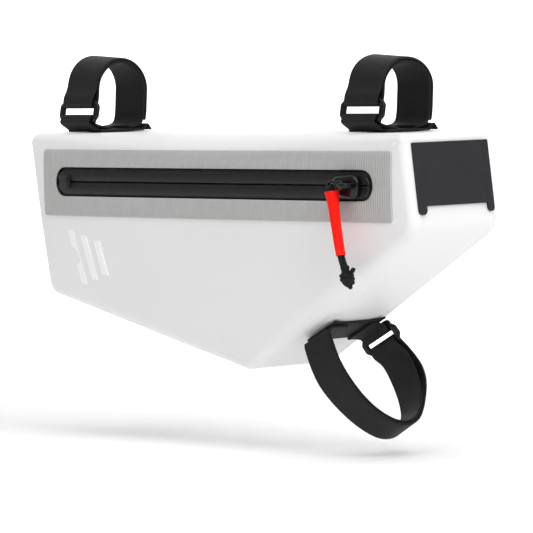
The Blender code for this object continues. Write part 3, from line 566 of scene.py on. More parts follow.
def soft_waves(points):
    """Depth of the slack in the coated cloth: long seeded sine waves, their sum scaled to 0 to 1."""
    draw = np.random.default_rng(WAVE_SEED)
    total = np.zeros(points.shape[:-1])
    for _ in range(WAVE_COUNT):
        way = unit(draw.normal(size=3))
        length = draw.uniform(*WAVE_LENGTHS)
        total += np.sin(points @ way * 2 * np.pi / length + draw.uniform(0, 2 * np.pi))
    return 0.5 + total / (2 * WAVE_COUNT)


def shell_rings():
    """The shell from the zip face's spine, over the rounded edge and the gusset, to the far spine."""
    columns = outline_columns()
    flat, normal, edge, crown = columns[:, :2], columns[:, 2:4], columns[:, 4], columns[:, 5]
    half = BAG_WIDTH / 2
    inset = flat - normal * edge[:, None]
    reach = TOP_LENGTH / 2 - SPINE_INSET
    spine = np.column_stack([np.clip(inset[:, 0], -reach, reach), np.full(len(inset), -SPINE_DROP)])
    share = (1 - np.linspace(0, 1, 21)[:-1] ** 0.9)[:, None, None]
    face = inset * (1 - share) + spine * share
    wide = np.stack([face[..., 0], front_y(face[..., 0], face[..., 1]), face[..., 1]], -1)
    stand = face_bulge(inset[:, 0], inset[:, 1])
    angle = np.radians(np.linspace(90, 0, 9))[:, None]
    drawn = flat - normal * (edge * (1 - np.cos(angle)))[..., None]
    round_y = -(half - edge + (edge + stand) * np.sin(angle))
    fillet = np.stack([drawn[..., 0], round_y, drawn[..., 1]], -1)
    places = np.array((0.97, 0.94, 0.925, 0.915, 0.905, 0.895, 0.88, 0.83, 0.75, 0.65, 0.55, 0.45, 0.35,
                       0.25, 0.15, 0.05))[:, None]
    belt = flat + normal * (crown * (1 - places**4))[..., None]
    belt = np.stack([belt[..., 0], -(half - edge) * places, belt[..., 1]], -1)
    near = np.concatenate([wide, fillet, belt])
    rings = np.concatenate([near, near[::-1] * (1, -1, 1)])
    outward = np.zeros_like(rings)
    outward[..., 0], outward[..., 2] = normal[:, 0], normal[:, 1]
    rows = len(near)
    facing = np.concatenate([np.ones(len(wide)), np.sin(angle[:, 0]), np.zeros(len(belt))])
    facing = np.concatenate([facing, facing[::-1]])[:, None]
    side = np.where(np.arange(2 * rows) < rows, -1.0, 1.0)[:, None]
    outward = outward * np.sqrt(1 - facing**2)[..., None]
    outward[..., 1] = side * facing
    weld = WELD_RISE * ease((np.abs(rings[..., 1]) / (half - edge) - 0.895) / 0.025) * (1 - facing)
    return rings, outward, weld, facing


def panel_distance(points):
    """Distance outside the zip panel's rectangle, seen along Y."""
    centre_x, centre_z = zip_centre()
    across = np.abs(points[..., 0] - centre_x) - SURROUND_LENGTH / 2
    up = np.abs(points[..., 2] - centre_z) - SURROUND_HEIGHT / 2
    return np.hypot(np.maximum(across, 0), np.maximum(up, 0))


def zip_centre():
    """Middle of the grey panel in X and Z."""
    return -TOP_LENGTH / 2 + SURROUND_TAIL_INSET + SURROUND_LENGTH / 2, -SURROUND_DROP


def make_shell(material):
    """The welded shell: rings drawn in by slack and puckers, a wall inside and the zip's window."""
    rings, outward, weld, facing = shell_rings()
    free = np.where(rings[..., 1] < 0, ease(panel_distance(rings) / SLACK_FADE), 1.0)
    on_face = FACE_SLACK * facing * free
    on_belt = BELT_SLACK * (1 - facing) * (np.abs(rings[..., 1]) > 0.020)
    depth = soft_waves(rings) * (on_face + on_belt) + pucker(rings) * (1 - 0.7 * facing)
    rings = rings + outward * (weld - depth)[..., None]
    shell = skin("shell_blank", [rings], material, 50, 0.00001)
    wall = shell.modifiers.new("wall", "SOLIDIFY")
    wall.thickness = WALL
    wall.offset = -1
    centre_x, centre_z = zip_centre()
    window = rounded_loop(ZIP_LENGTH + 2 * WINDOW_MARGIN, ZIP_HEIGHT + 2 * WINDOW_MARGIN, 0.0020, 4)
    window = window + (centre_x + ZIP_SHIFT, centre_z)
    depths = (-BAG_WIDTH, -BAG_WIDTH / 2 + EDGE_RADIUS + WALL)
    block = np.array([np.column_stack([window[:, 0], np.full(len(window), y), window[:, 1]]) for y in depths])
    cutter = skin("window_block", [block], material)
    cut(shell, [cutter], "FAST")
    made = evaluated(shell, "bag_shell", material, 50)
    bpy.data.objects.remove(cutter, do_unlink=True)
    return made


# ---- Zip

def on_front(flat, proud):
    """Points of the zip face, standing proud of it by so much."""
    return np.stack([flat[..., 0], front_y(flat[..., 0], flat[..., 1]) - proud, flat[..., 1]], -1)


def make_panel(material):
    """The ribbed panel round the zip: rows between an outer and an inner loop, edges rounded off."""
    centre = np.array(zip_centre())
    outer = rounded_loop(SURROUND_LENGTH, SURROUND_HEIGHT, SURROUND_RADIUS, 8)
    tall = ZIP_HEIGHT + OPENING_EASE
    inner = rounded_loop(ZIP_LENGTH, tall, tall / 2 - GAP, 8) + (ZIP_SHIFT, OPENING_EASE / 2)
    gaps = np.linalg.norm(np.roll(outer, -1, axis=0) - outer, axis=1)
    pieces = np.maximum(1, np.round(gaps / PANEL_PITCH)).astype(int)
    start = np.repeat(np.arange(len(outer)), pieces)
    share = np.concatenate([np.arange(n) / n for n in pieces])[:, None]
    loops = [loop[start] * (1 - share) + np.roll(loop, -1, axis=0)[start] * share + centre
             for loop in (outer, inner)]
    height = GAP * 0.2 + SURROUND_THICKNESS * 0.9
    rings = [on_front(loops[0] * (1 - a) + loops[1] * a, p * height)
             for a, p in zip(PANEL_ACROSS, PANEL_PROUD)]
    return skin("ribbed_zip_panel", [(np.array(rings), True)], material, 60)


def lip_line():
    """Half of the zip seen along it: distance from the split and depth behind the zip face."""
    reach = ZIP_HEIGHT / 2
    flange = WALL + FLANGE_CLEARANCE + TAPE_THICKNESS / 2
    rows = [(TAPE_SPLIT / 2 + 0.0003, 0.0014), (TAPE_SPLIT / 2 + 0.0005, 0.0005), (reach * 0.17, 0.00005),
            (reach * 0.40, -0.0002), (reach * 0.68, -0.0001), (reach - 0.0008, 0.0005),
            (reach, WALL * 0.8), (reach + WINDOW_MARGIN * 0.5, flange), (reach + TAPE_FLANGE, flange)]
    return smooth_line(rows, 5)


def make_lip(name, side, material):
    """One zip tape: a folded strip, its fold turned in at the split, its flange behind the wall."""
    centre_x, centre_z = zip_centre()
    line = lip_line()
    slope = unit(np.gradient(line, axis=0))
    normal = np.stack([-slope[:, 1], slope[:, 0]], 1) * TAPE_THICKNESS / 2
    section = np.vstack([line + normal, (line - normal)[::-1]])
    section[:, 0] = np.maximum(section[:, 0], TAPE_SPLIT / 2)
    straight = (ZIP_LENGTH - ZIP_HEIGHT) / 2
    last = ZIP_LENGTH / 2 + WINDOW_MARGIN - 2 * GAP
    place = np.concatenate([np.linspace(-last, -straight, 10)[:-1], np.linspace(-straight, straight, 110),
                            np.linspace(straight, last, 10)[1:]])
    sink = END_SINK * ease((np.abs(place) - straight - 0.0006) / 0.0034)
    x = (place + centre_x + ZIP_SHIFT)[:, None] * np.ones(len(section))
    z = centre_z + SPLIT_RISE + side * section[None, :, 0] * np.ones((len(place), 1))
    lift = sink[:, None] * np.exp(-(section[None, :, 1] / TAPE_THICKNESS) ** 2)
    y = front_y(x, z) + section[None, :, 1] + lift
    return skin(name, [np.stack([x, y, z], -1)], material, 60)


def zip_surface(x, height):
    """Y of the lips' outermost skin at X, within a height about the split."""
    z = zip_centre()[1] + np.linspace(-0.5, 0.5, 5) * height
    return float(front_y(x, z).min()) - LIP_SKIN - TAPE_THICKNESS / 2


def make_end_pad(material):
    """The pad over the tail end of the zip, laid on the lips, with a bar tack of upright threads."""
    centre_x, centre_z = zip_centre()
    pad_x = centre_x + ZIP_SHIFT - ZIP_LENGTH / 2 + END_PAD_INSET + END_PAD_LENGTH / 2 + 0.0012
    pad_z = centre_z + SPLIT_RISE
    thick = END_PAD_THICKNESS * PAD_SHARE
    rings = plate_rings(END_PAD_LENGTH, END_PAD_HEIGHT, 0.0016, thick, 0.0004, 6)

    def laid(x, z, lift):
        past = centre_x + ZIP_SHIFT - x - (ZIP_LENGTH - ZIP_HEIGHT) / 2
        sink = END_SINK * 0.5 * ease(past / 0.005)
        return np.stack([x, front_y(x, z) - LIP_SKIN - TAPE_THICKNESS / 2 + sink - lift, z], -1)

    shells = [laid(pad_x + rings[..., 0], pad_z + rings[..., 1], rings[..., 2])]
    share = np.linspace(0, 1, 9)
    for k in range(TACK_THREADS):
        x = pad_x + END_PAD_LENGTH * 0.27 + TACK_LENGTH * (share - 0.5) + 0.0003 * (k % 2)
        z = pad_z + (k - TACK_THREADS // 2) * TACK_PITCH + 0.0003 * share
        path = laid(x, z, thick + 0.00022 * np.sin(np.pi * share))
        shells.append(tube_rings(path, TACK_RADIUS, 8, np.array((0.0, 0.0, 1.0)), (True, True)))
    return skin("stitched_end_pad", shells, material, 50)


def make_garage(material):
    """The glossy moulded rim round the head end of the zip: a round bar along an arc."""
    centre_x, centre_z = zip_centre()
    head = centre_x + ZIP_SHIFT + ZIP_LENGTH / 2
    radius = ZIP_HEIGHT / 2 - 2 * GAP - GARAGE_RIM / 2
    turn = np.radians(np.linspace(-GARAGE_TURN, GARAGE_TURN, 41))
    x = head - ZIP_HEIGHT / 2 + radius * np.cos(turn)
    z = centre_z + radius * np.sin(turn)
    y = np.full(len(turn), zip_surface(head - ZIP_HEIGHT, ZIP_HEIGHT) - 0.0004)
    rings = tube_rings(np.stack([x, y, z], 1), GARAGE_RIM / 2, 14, ACROSS, (True, True))
    return skin("zip_end_rim", [rings], material, 60)


def slider_place():
    """Middle of the slider in X and Z, and Y of its underside."""
    centre_x, centre_z = zip_centre()
    x = centre_x + ZIP_SHIFT + ZIP_LENGTH / 2 - SLIDER_END_INSET - SLIDER_LENGTH / 2
    under = min(zip_surface(x + end * SLIDER_LENGTH / 2, SLIDER_HEIGHT) for end in (-1, 1))
    return x, centre_z, under - GAP


def tab_plane():
    """Y of the middle of the tab's thickness."""
    return slider_place()[2] - SLIDER_DOME - CORD_DIAMETER - SLEEVE_WALL - 4 * GAP - TAB_THICKNESS / 2


def bridge_place():
    """X of the middle of the slider's bridge."""
    return slider_place()[0] + BRIDGE_SHIFT


def make_slider(material):
    """A dome of shrinking rounded loops, narrower towards the tail, and an arched bridge on it."""
    x, z, base = slider_place()
    shells, rings = [], []
    for angle in np.radians((0, 0, 12, 25, 38, 50, 62, 72, 80)):
        size = 0.34 + 0.66 * math.cos(angle) ** 0.55
        tall = SLIDER_HEIGHT * size
        loop = rounded_loop(SLIDER_LENGTH * size, tall, tall * SLIDER_ROUND, 8)
        narrow = 0.86 + 0.14 * ease(loop[:, 0] / SLIDER_LENGTH + 0.5)
        loop = np.stack([loop[:, 0], loop[:, 1] * narrow], 1)
        level = SLIDER_DOME * (0.30 + 0.70 * math.sin(angle) ** 0.9 if rings else 0.0)
        rings.append(np.column_stack([loop[:, 0] + x, np.full(len(loop), base - level), loop[:, 1] + z]))
    shells.append(np.array(rings))
    under = tab_plane() - TAB_THICKNESS / 2 - TAB_RUNNING_GAP
    half_span = BRIDGE_SPAN / 2 + BRIDGE_POST / 2
    low = base - SLIDER_DOME * 0.80
    turn = np.linspace(0, np.pi, 41)
    arch_x = bridge_place() + half_span * np.sign(np.cos(turn)) * np.abs(np.cos(turn)) ** 0.45
    arch_y = low + (under - BRIDGE_THICKNESS / 2 - low) * np.sin(turn) ** 0.45
    path = even_line(np.stack([arch_x, arch_y], 1), 0.0002, 0.0003)
    slope = unit(np.gradient(path, axis=0))
    normal = np.stack([-slope[:, 1], slope[:, 0]], 1)
    section = rounded_loop(BRIDGE_WIDTH, BRIDGE_THICKNESS, 0.0006, 4)
    flat = path[:, None, :] + normal[:, None, :] * section[None, :, 1:]
    rise = np.broadcast_to(z + TAB_RISE + section[:, 0], flat.shape[:2])
    shells.append(np.stack([flat[..., 0], flat[..., 1], rise], -1))
    return skin("zip_slider", shells, material, 45)


def tab_eye():
    """X and Z of the middle of the eye that holds the cord."""
    tip = bridge_place() - BRIDGE_SPAN / 2 + BRIDGE_POST * 0.8 - TAB_LENGTH
    return tip + TAB_BAR * 1.2 + TAB_EYE / 2, slider_place()[1] + TAB_RISE


def make_tab(material):
    """The flat pull: a rounded plate with an eye for the cord and an eye round the bridge's post."""
    z = slider_place()[1] + TAB_RISE
    y = tab_plane() + TAB_THICKNESS / 2
    middle = bridge_place() - BRIDGE_SPAN / 2 + BRIDGE_POST * 0.8 - TAB_LENGTH / 2

    def placed(rings, x, base):
        return np.stack([x + rings[..., 0], base - rings[..., 2], z + rings[..., 1]], -1)

    plate = plate_rings(TAB_LENGTH, TAB_HEIGHT, TAB_HEIGHT * 0.42, TAB_THICKNESS, 0.0004, 8)
    tab = skin("tab_blank", [placed(plate, middle, y)], material)
    height = TAB_HEIGHT - 2 * TAB_BAR
    post = bridge_place() - BRIDGE_SPAN / 2 - BRIDGE_POST / 2
    eyes = []
    for name, x, length, tall, radius in (
        ("cord_eye", tab_eye()[0], TAB_EYE, height, height * 0.45),
        ("post_eye", post, BRIDGE_POST + 2 * TAB_RUNNING_GAP, BRIDGE_WIDTH + 2 * TAB_RUNNING_GAP, 0.0003),
    ):
        loop = rounded_loop(length, tall, radius, 6)
        block = np.array([np.column_stack([loop, np.full(len(loop), level)]) for level in (-0.001, 0.003)])
        eyes.append(skin(name, [placed(block, x, y)], material))
    cut(tab, eyes)
    made = evaluated(tab, "zip_pull_tab", material, 45)
    for eye in eyes:
        bpy.data.objects.remove(eye, do_unlink=True)
    return made


# ---- Pull cord, sleeve and knot

def pull_line():
    """The pull's middle line in X, Y and Z from the tab's eye to the knot."""
    eye_x, eye_z = tab_eye()
    flat = smooth_line(np.array(CORD_ROUTE) + (eye_x, eye_z), 6)
    return np.stack([flat[:, 0], np.full(len(flat), tab_plane()), flat[:, 1]], 1)


def strand_spread(share):
    """Half the distance between the two strands: wide at the eye, side by side below."""
    at_eye = TAB_THICKNESS / 2 + GAP + CORD_DIAMETER / 2
    beside = CORD_DIAMETER / 2 + GAP / 2
    return beside + (at_eye - beside) * np.clip(1 - share / 0.25, 0, 1) ** 2


def strand_path(side):
    """One strand from the top of the turn over the tab's bar down to the knot, behind or before it."""
    line = pull_line()
    spread = strand_spread(np.linspace(0, 1, len(line)))
    eye_x, eye_z = tab_eye()
    bar_z = eye_z - TAB_HEIGHT / 2 + TAB_BAR / 2
    rise = TAB_BAR / 2 + GAP + CORD_DIAMETER / 2
    turn = np.radians(np.linspace(90, 0, 8))
    reach = strand_spread(np.zeros(1))[0]
    arc_y = tab_plane() + side * reach * np.cos(turn)
    arc = np.stack([np.full(len(turn), eye_x), arc_y, bar_z + rise * np.sin(turn)], 1)
    return np.vstack([arc, line + side * spread[:, None] * ACROSS])


def make_strand(name, side, material):
    """A braided strand: a tube along its path."""
    path = strand_path(side)
    piece = skin(name, [tube_rings(path, CORD_DIAMETER / 2, 16, np.array((1.0, 0.0, 0.0)))], material, 60)
    return fit(piece, "black_cord", "pull_cord")


def make_sleeve(material):
    """The red sleeve: oval rings round both strands, wide and flat at the top, slim below."""
    line = pull_line()
    run = run_lengths(line)
    fine = np.linspace(0, SLEEVE_LENGTH, 60)
    centre = np.stack([np.interp(fine, run, line[:, k]) for k in range(3)], 1)
    slope = unit(np.gradient(centre, axis=0))
    across = unit(np.cross(slope, ACROSS))
    share = fine / SLEEVE_LENGTH
    deep = strand_spread(fine / run[-1]) + CORD_DIAMETER / 2 + GAP
    wide = CORD_DIAMETER / 2 + GAP + SLEEVE_FLARE * (1 - share) ** 2
    lip = 0.00012 * np.exp(-(fine / 0.0012) ** 2)
    angle = np.linspace(0, 2 * np.pi, 40, endpoint=False)

    def rings(wall):
        a = across[:, None, :] * ((wide + wall)[:, None] * np.cos(angle))[..., None]
        return centre[:, None, :] + a + ACROSS * ((deep + wall)[:, None] * np.sin(angle))[..., None]

    both = np.concatenate([rings(SLEEVE_WALL + lip), rings(0.0)[::-1]])
    return skin("red_sleeve", [(both, True)], material, 50)


def make_knot(material):
    """The stopper knot: a lobed ball, one strand wound round it in two leaning turns, and three cut ends."""
    line = pull_line()
    slope = unit(line[-1] - line[-2])
    across = unit(np.cross(slope, ACROSS))
    middle = line[-1] + slope * (GAP + KNOT_LENGTH * 0.54)
    strand = CORD_DIAMETER * 0.52
    half_long, radius = KNOT_LENGTH * 0.40, KNOT_WIDTH / 2 - 0.0006
    levels = np.cos(np.linspace(np.pi * 0.97, np.pi * 0.03, 24))
    angle = np.linspace(0, 2 * np.pi, 28, endpoint=False)
    lobes = 1 + 0.05 * np.cos(3 * angle[None, :] + 4 * levels[:, None])
    size = radius * np.sqrt(1 - levels**2)[:, None] * lobes
    round_part = across * np.cos(angle)[:, None] + ACROSS * np.sin(angle)[:, None]
    shells = [middle + slope * (half_long * levels)[:, None, None] + round_part[None, :, :] * size[..., None]]
    neck = np.linspace(0, 1, 8)[:, None]
    neck = line[-1] + slope * (GAP + neck * KNOT_LENGTH * 0.30)
    shells.append(tube_rings(neck, CORD_DIAMETER * 0.95, 16, across))
    turn = np.linspace(0, 4.4 * np.pi, 170)
    place = -0.42 + 0.86 * turn / turn[-1] + 0.20 * np.cos(turn - 0.9)
    wide = radius * np.sqrt(np.clip(1 - place**2, 0, 1)) - strand * 0.35
    wound = (middle + slope * (half_long * place)[:, None] + across * (wide * np.cos(turn))[:, None]
             + ACROSS * (wide * np.sin(turn))[:, None])
    shells.append(tube_rings(wound, strand, 12, slope, (True, True)))
    share = np.linspace(0, 1, 14)
    for (near, low), (far, high), deep in KNOT_ENDS:
        path = (middle + across * (near + (far - near) * share)[:, None]
                - slope * (low + (high - low) * share)[:, None]
                + ACROSS * (deep * np.sin(np.pi / 2 * share))[:, None])
        shells.append(tube_rings(path, CORD_DIAMETER * 0.58, 12, ACROSS, (False, True)))
    return skin("pull_cord_knot", shells, material, 60)


# ---- Straps

def strap_section(width, thickness):
    """Section of webbing: round edges, flat faces and a fine groove inside each selvedge."""
    edge = thickness / 2
    flat = width / 2 - edge
    groove = width / 2 - SELVEDGE
    fine = np.array((-0.0006, -0.0003, 0.0, 0.0003, 0.0006))
    a = np.unique(np.concatenate([np.linspace(-flat, flat, 11), fine + groove, fine - groove]))
    dip = 0.00013 * np.exp(-((np.abs(a) - groove) / 0.00028) ** 2)
    top = np.stack([a, edge - dip], 1)
    turn = np.radians(np.linspace(90, -90, 8))[1:-1]
    right = np.stack([flat + edge * np.cos(turn), edge * np.sin(turn)], 1)
    section = np.vstack([top, right, (top * (1, -1))[::-1], (right * (-1, -1))])
    return section / (width, 1.0)


def ribbon_rings(place, path, width, section, twist=0.0, lean=0.0):
    """A band along a path that runs across the bag and out of it, its width along the side.

    As the path gets further out, the width turns about the way out by the twist and tips
    towards it by the lean, in degrees.
    """
    origin, run, out = place[:3]
    slope = unit(np.gradient(path, axis=0))
    normal = np.stack([-slope[:, 1], slope[:, 0]], 1)
    far = np.clip((path[:, 1] / path[:, 1].max() - TURN_START) / (TURN_END - TURN_START), 0, 1)
    share = swell(far / 2)
    turn, tip = np.radians(twist) * share, np.radians(lean) * share
    broad = unit(run + ACROSS * np.tan(turn)[:, None] + out * np.tan(tip)[:, None])
    wide = np.broadcast_to(width, len(path))
    flat = path[:, None, :] + normal[:, None, :] * section[None, :, 1:]
    sideways = broad[:, None, :] * (section[None, :, :1] * wide[:, None, None])
    return origin + sideways + ACROSS * flat[..., :1] + out * flat[..., 1:]


def surface_height(place, y):
    """Height of the bag's surface over a place's plane: its highest within a base's width."""
    index, distance, level, slope = place[3]
    along = np.linspace(-0.5, 0.5, 7)[:, None] * (BASE_WIDTH + 2 * BASE_FLARE)
    return np.max(gusset_height(index, distance + along, np.atleast_1d(y)) - level - slope * along, axis=0)


def strap_seat(place):
    """Height of a strap's middle line where it lies on its base."""
    surface = float(surface_height(place, BASE_DEPTH * BASE_FLAT)[0])
    return surface + BASE_THICKNESS + 2 * GAP + STRAP_THICKNESS / 2


def seam_start():
    """Distance from a base's middle to where a strap or tab begins."""
    return BASE_DEPTH * BASE_FLAT + GAP


def bar_reach():
    """Distances from a ring bar's middle to a strap's middle line: through and along the ring."""
    cover = GAP + STRAP_THICKNESS / 2
    return RING_THICKNESS / 2 + cover, RING_BAR / 2 + cover


def bend(centre, heading, away):
    """A strap's turn round a ring's bar: a full oval from its inner face to its outer one."""
    through, beyond = bar_reach()
    angles = np.radians(np.linspace(12, 168, 15))[:, None]
    across = -np.sign(np.cos(angles)) * np.abs(np.cos(angles)) ** BEND_FULLNESS
    return centre + away * through * across + heading * beyond * np.sin(angles) ** BEND_FULLNESS


def lapped(inner, outside, lap_share, bulge, bulge_share):
    """A strap's whole path: the inner layer, a turn round the bar, and the lap back over it.

    The lap stands off the inner layer by the bar's turn, settles onto it by a Gaussian, and swells
    away again by half a sine squared over the bulge's share of the path.
    """
    through = bar_reach()[0]
    slope = unit(np.gradient(inner, axis=0))
    normal = np.stack([-slope[:, 1], slope[:, 0]], 1) * outside
    heading, away = slope[-1], normal[-1]
    bar = inner[-1] + away * through
    back = inner[::-1]
    run = run_lengths(back)
    lap = run[-1] * lap_share
    clear = RING_BAR / 2 + 2 * GAP
    steps = np.linspace(0, lap, int(lap / 0.0006))
    snug = STRAP_THICKNESS + GAP
    stand = snug + (2 * through - snug) * np.exp(-(np.maximum(steps - clear, 0) / LAP_SETTLE) ** 2)
    stand = stand + bulge * swell(steps / (run[-1] * bulge_share))
    spot = np.stack([np.interp(steps, run, back[:, k]) for k in range(2)], 1)
    side = unit(np.stack([np.interp(steps, run, normal[::-1][:, k]) for k in range(2)], 1))
    return np.vstack([inner, bend(bar, heading, away), spot + side * stand[:, None]]), bar, heading, away


def top_inner_path(place, height):
    """Inner layer of a top strap: up the far leg, over a half ellipse and out to the ring.

    Each foot row is a share of the far leg's distance and a height over the seat in thicknesses.
    """
    seat = strap_seat(place)
    spring = TOP_RING_HEIGHT + TOP_LEG_SLOPE
    far = TOP_LOOP_SHIFT + TOP_LOOP_HALF
    foot = [(far * share, seat + STRAP_THICKNESS * level) for share, level in TOP_FOOT]
    angles = np.radians(np.linspace(0, 180, 61))
    arch = np.stack([TOP_LOOP_SHIFT + TOP_LOOP_HALF * np.cos(angles),
                     spring + (height - spring) * np.sin(angles)], 1)
    near = TOP_LOOP_SHIFT - TOP_LOOP_HALF
    leg = [((near - TOP_RING_REACH) / 2 + (near + TOP_RING_REACH) * 0.2, spring - TOP_LEG_SLOPE / 2),
           (-TOP_RING_REACH, TOP_RING_HEIGHT)]
    return even_line(np.vstack([smooth_line(foot, 8), arch, leg]), PATH_STEP, ARCH_BLUR)


def lower_inner_path(place):
    """Inner layer of the lower strap: down its hanging loop to the ring."""
    rows = np.array(LOWER_LOOP) * (LOWER_LOOP_WIDTH, LOWER_LOOP_DROP)
    return even_line(smooth_line([(-seam_start(), strap_seat(place)), *rows], 12), PATH_STEP, LOOP_BLUR)


def make_ring(name, place, bar, heading, size, material):
    """A flat ring with cut corners: loops of a rounded section between the outline and the slot."""
    strap_width, height = size
    origin, run, out = place[:3]
    down = ACROSS * heading[0] + out * heading[1]
    through = np.cross(run, down)
    centre = origin + ACROSS * bar[0] + out * bar[1] + down * (height - RING_BAR) / 2
    rim = RING_THICKNESS / 2 - RING_EDGE
    wide, tall = strap_width / 2 + RING_SIDE, height / 2
    slot_wide, slot_tall = strap_width / 2 + GAP, height / 2 - RING_BAR
    turn = np.radians(np.linspace(0, 90, 5))
    outer = [(RING_EDGE * (1 - np.cos(t)), rim + RING_EDGE * np.sin(t)) for t in turn]
    rows = [(wide - i, tall - i, RING_CHAMFER, h) for i, h in outer]
    rows += [(slot_wide + i, slot_tall + i, SLOT_CHAMFER, h) for i, h in outer[::-1]]
    rows += [(a, b, c, -h) for a, b, c, h in rows[::-1]]
    loops = []
    for half_l, half_h, cutoff, rise in rows:
        quarter = np.array([(half_l, half_h - cutoff), (half_l - cutoff, half_h)])
        corners = np.vstack([quarter, quarter[::-1] * (-1, 1), -quarter, quarter[::-1] * (1, -1)])
        closed = np.vstack([corners, corners[:1]])
        share = np.array((0.0, 0.12, 0.30, 0.5, 0.70, 0.88))[None, :, None]
        loop = closed[:-1, None, :] * (1 - share) + closed[1:, None, :] * share
        loop = loop.reshape(-1, 2)
        loop = 0.25 * np.roll(loop, 1, axis=0) + 0.5 * loop + 0.25 * np.roll(loop, -1, axis=0)
        loops.append(centre + run * loop[:, :1] + down * loop[:, 1:] + through * rise)
    return skin(name, [(np.array(loops), True)], material, 50)


def make_strap_set(prefix, inner, ring_side, size, lap, turn, webbing, plastic):
    """Base, strap, ring and ring tab of one loop; a top base's far end is folded up against its strap."""
    place = STRAP_FRAMES[prefix]
    width, ring_height = size
    section = strap_section(width, STRAP_THICKNESS)
    y = np.linspace(-0.5, 0.5, 41) * BASE_DEPTH
    knees = np.array((-0.5, -BASE_KNEE, -BASE_FLAT, BASE_FLAT, BASE_KNEE, 0.5)) * BASE_DEPTH
    height = np.interp(y, knees, surface_height(place, knees)) + GAP + BASE_THICKNESS / 2
    if prefix != "lower":
        fold = (FOLD_START, FOLD_PEAK, BASE_DEPTH / 2)
        height = height + np.interp(y * -ring_side, fold, (0.0, FOOT_FOLD, 0.0))
    flare = np.interp(np.abs(y) / BASE_DEPTH, (BASE_FLAT, BASE_KNEE, 0.5), (0.0, 0.3, 1.0))
    widths = BASE_WIDTH - STRAP_WIDTH + width + 2 * BASE_FLARE * flare
    base_path = np.stack([y, height], 1)
    rings = ribbon_rings(place, base_path, widths, strap_section(BASE_WIDTH, BASE_THICKNESS))
    fit(skin(prefix + "_sewn_base", [rings], webbing, 60), "black_webbing", prefix + "_base")
    path, bar, heading, away = lapped(inner, ring_side, *lap)
    rings = ribbon_rings(place, even_line(path, PATH_STEP, STRAP_BLUR), width, section, *turn)
    fit(skin(prefix + "_loop_strap", [rings], webbing, 60), "black_webbing", prefix + "_strap")
    ring = make_ring(prefix + "_strap_ring", place, bar, heading, size, plastic)
    fit(ring, "black_plastic", prefix + "_ring")
    through = bar_reach()[0]
    low = bar + heading * (ring_height - RING_BAR)
    seat = strap_seat(place)
    inside, outside = low - away * through, low + away * through
    start = np.array((ring_side * seam_start(), seat))
    knee = np.array((ring_side * BASE_DEPTH * BASE_KNEE, seat))
    past = heading * (RING_BAR / 2 + 2 * GAP)
    rise = smooth_line([start, knee, inside + past - away * GAP, inside], 12)
    foot = np.array((ring_side * (BASE_DEPTH / 2 + GAP + STRAP_THICKNESS), seat - STRAP_THICKNESS / 2))
    fall = smooth_line([outside, outside + past + away * GAP, foot], 10)
    path = even_line(np.vstack([rise, bend(low, -heading, away), fall]), PATH_STEP, STRAP_BLUR)
    rings = ribbon_rings(place, path, width, section)
    fit(skin(prefix + "_ring_tab", [rings], webbing, 60), "black_webbing", prefix + "_tab")


# ---- Flap and print

def make_flap(material):
    """The cable-port flap: a crowned plate between two folded side strips with rounded ends."""
    corners, along, outward, _ = side_axes()
    down = -np.array((along[3][0], 0.0, along[3][1]))
    out = np.array((outward[3][0], 0.0, outward[3][1]))
    origin = np.array((corners[4][0], 0.0, corners[4][1])) + out * GAP
    half = FLAP_WIDTH / 2
    shells = []
    rows = (
        (-half, -half + FLAP_LEG_NEAR, FLAP_LEG, True, 1.0),
        (-half + FLAP_LEG_NEAR - 0.0001, half - FLAP_LEG_FAR + 0.0001, 0.0, False, 0.97),
        (half - FLAP_LEG_FAR, half, FLAP_LEG, True, 1.0),
    )
    for left, right, leg, rounded, high in rows:
        wide, tall = right - left, FLAP_HEIGHT + leg
        bottom = wide * 0.46 if rounded else 0.0004
        rings = plate_rings(wide, tall, (bottom, bottom, 0.0007, 0.0007), FLAP_THICKNESS * high, 0.00035, 8)
        middle = (left + right) / 2
        shells.append(origin + ACROSS * (middle + rings[..., :1])
                      + down * (FLAP_TOP + tall / 2 + rings[..., 1:2]) + out * rings[..., 2:])
    return skin("cable_port_flap", shells, material, 50)


def make_print(material):
    """A plain motif of three parallel leaning bars, printed on the lower front near the tail."""
    shells = []
    for k in range(PRINT_BARS):
        loop = rounded_loop(PRINT_WIDTH, PRINT_HEIGHT - PRINT_STEP * k, 0.0003, 2)
        flat = np.stack([loop[:, 0] - PRINT_LEAN * loop[:, 1], loop[:, 1]], 1)
        flat = flat + (PRINT_PLACE[0] + PRINT_PITCH * k, PRINT_PLACE[1])
        shells.append(np.array([on_front(flat, level) for level in (-0.0006, 0.00010)]))
    return skin("printed_bars", shells, material, 30)


# ---- Materials

def srgb(text):
    """Linear colour of an sRGB hex value."""
    value = np.array([int(text[k:k + 2], 16) for k in (1, 3, 5)]) / 255
    linear = np.where(value <= 0.04045, value / 12.92, ((value + 0.055) / 1.055) ** 2.4)
    return (*linear.tolist(), 1.0)


def add_node(material, kind, inputs=None, **settings):
    """One node with its settings, each input a value or a pair of a node and its output."""
    made = material.node_tree.nodes.new("ShaderNode" + kind)
    for key, value in settings.items():
        setattr(made, key, value)
    for key, value in (inputs or {}).items():
        if isinstance(value, tuple) and isinstance(value[0], bpy.types.Node):
            material.node_tree.links.new(value[0].outputs[value[1]], made.inputs[key])
        else:
            made.inputs[key].default_value = value
    return made


def start_material(name, roughness, **sockets):
    """A material with its Principled shader's constants set, and that shader."""
    material = bpy.data.materials.new(name)
    material.use_nodes = True
    shader = material.node_tree.nodes["Principled BSDF"]
    shader.inputs["Roughness"].default_value = roughness
    for key, value in sockets.items():
        shader.inputs[key.replace("_", " ")].default_value = value
    return material, shader


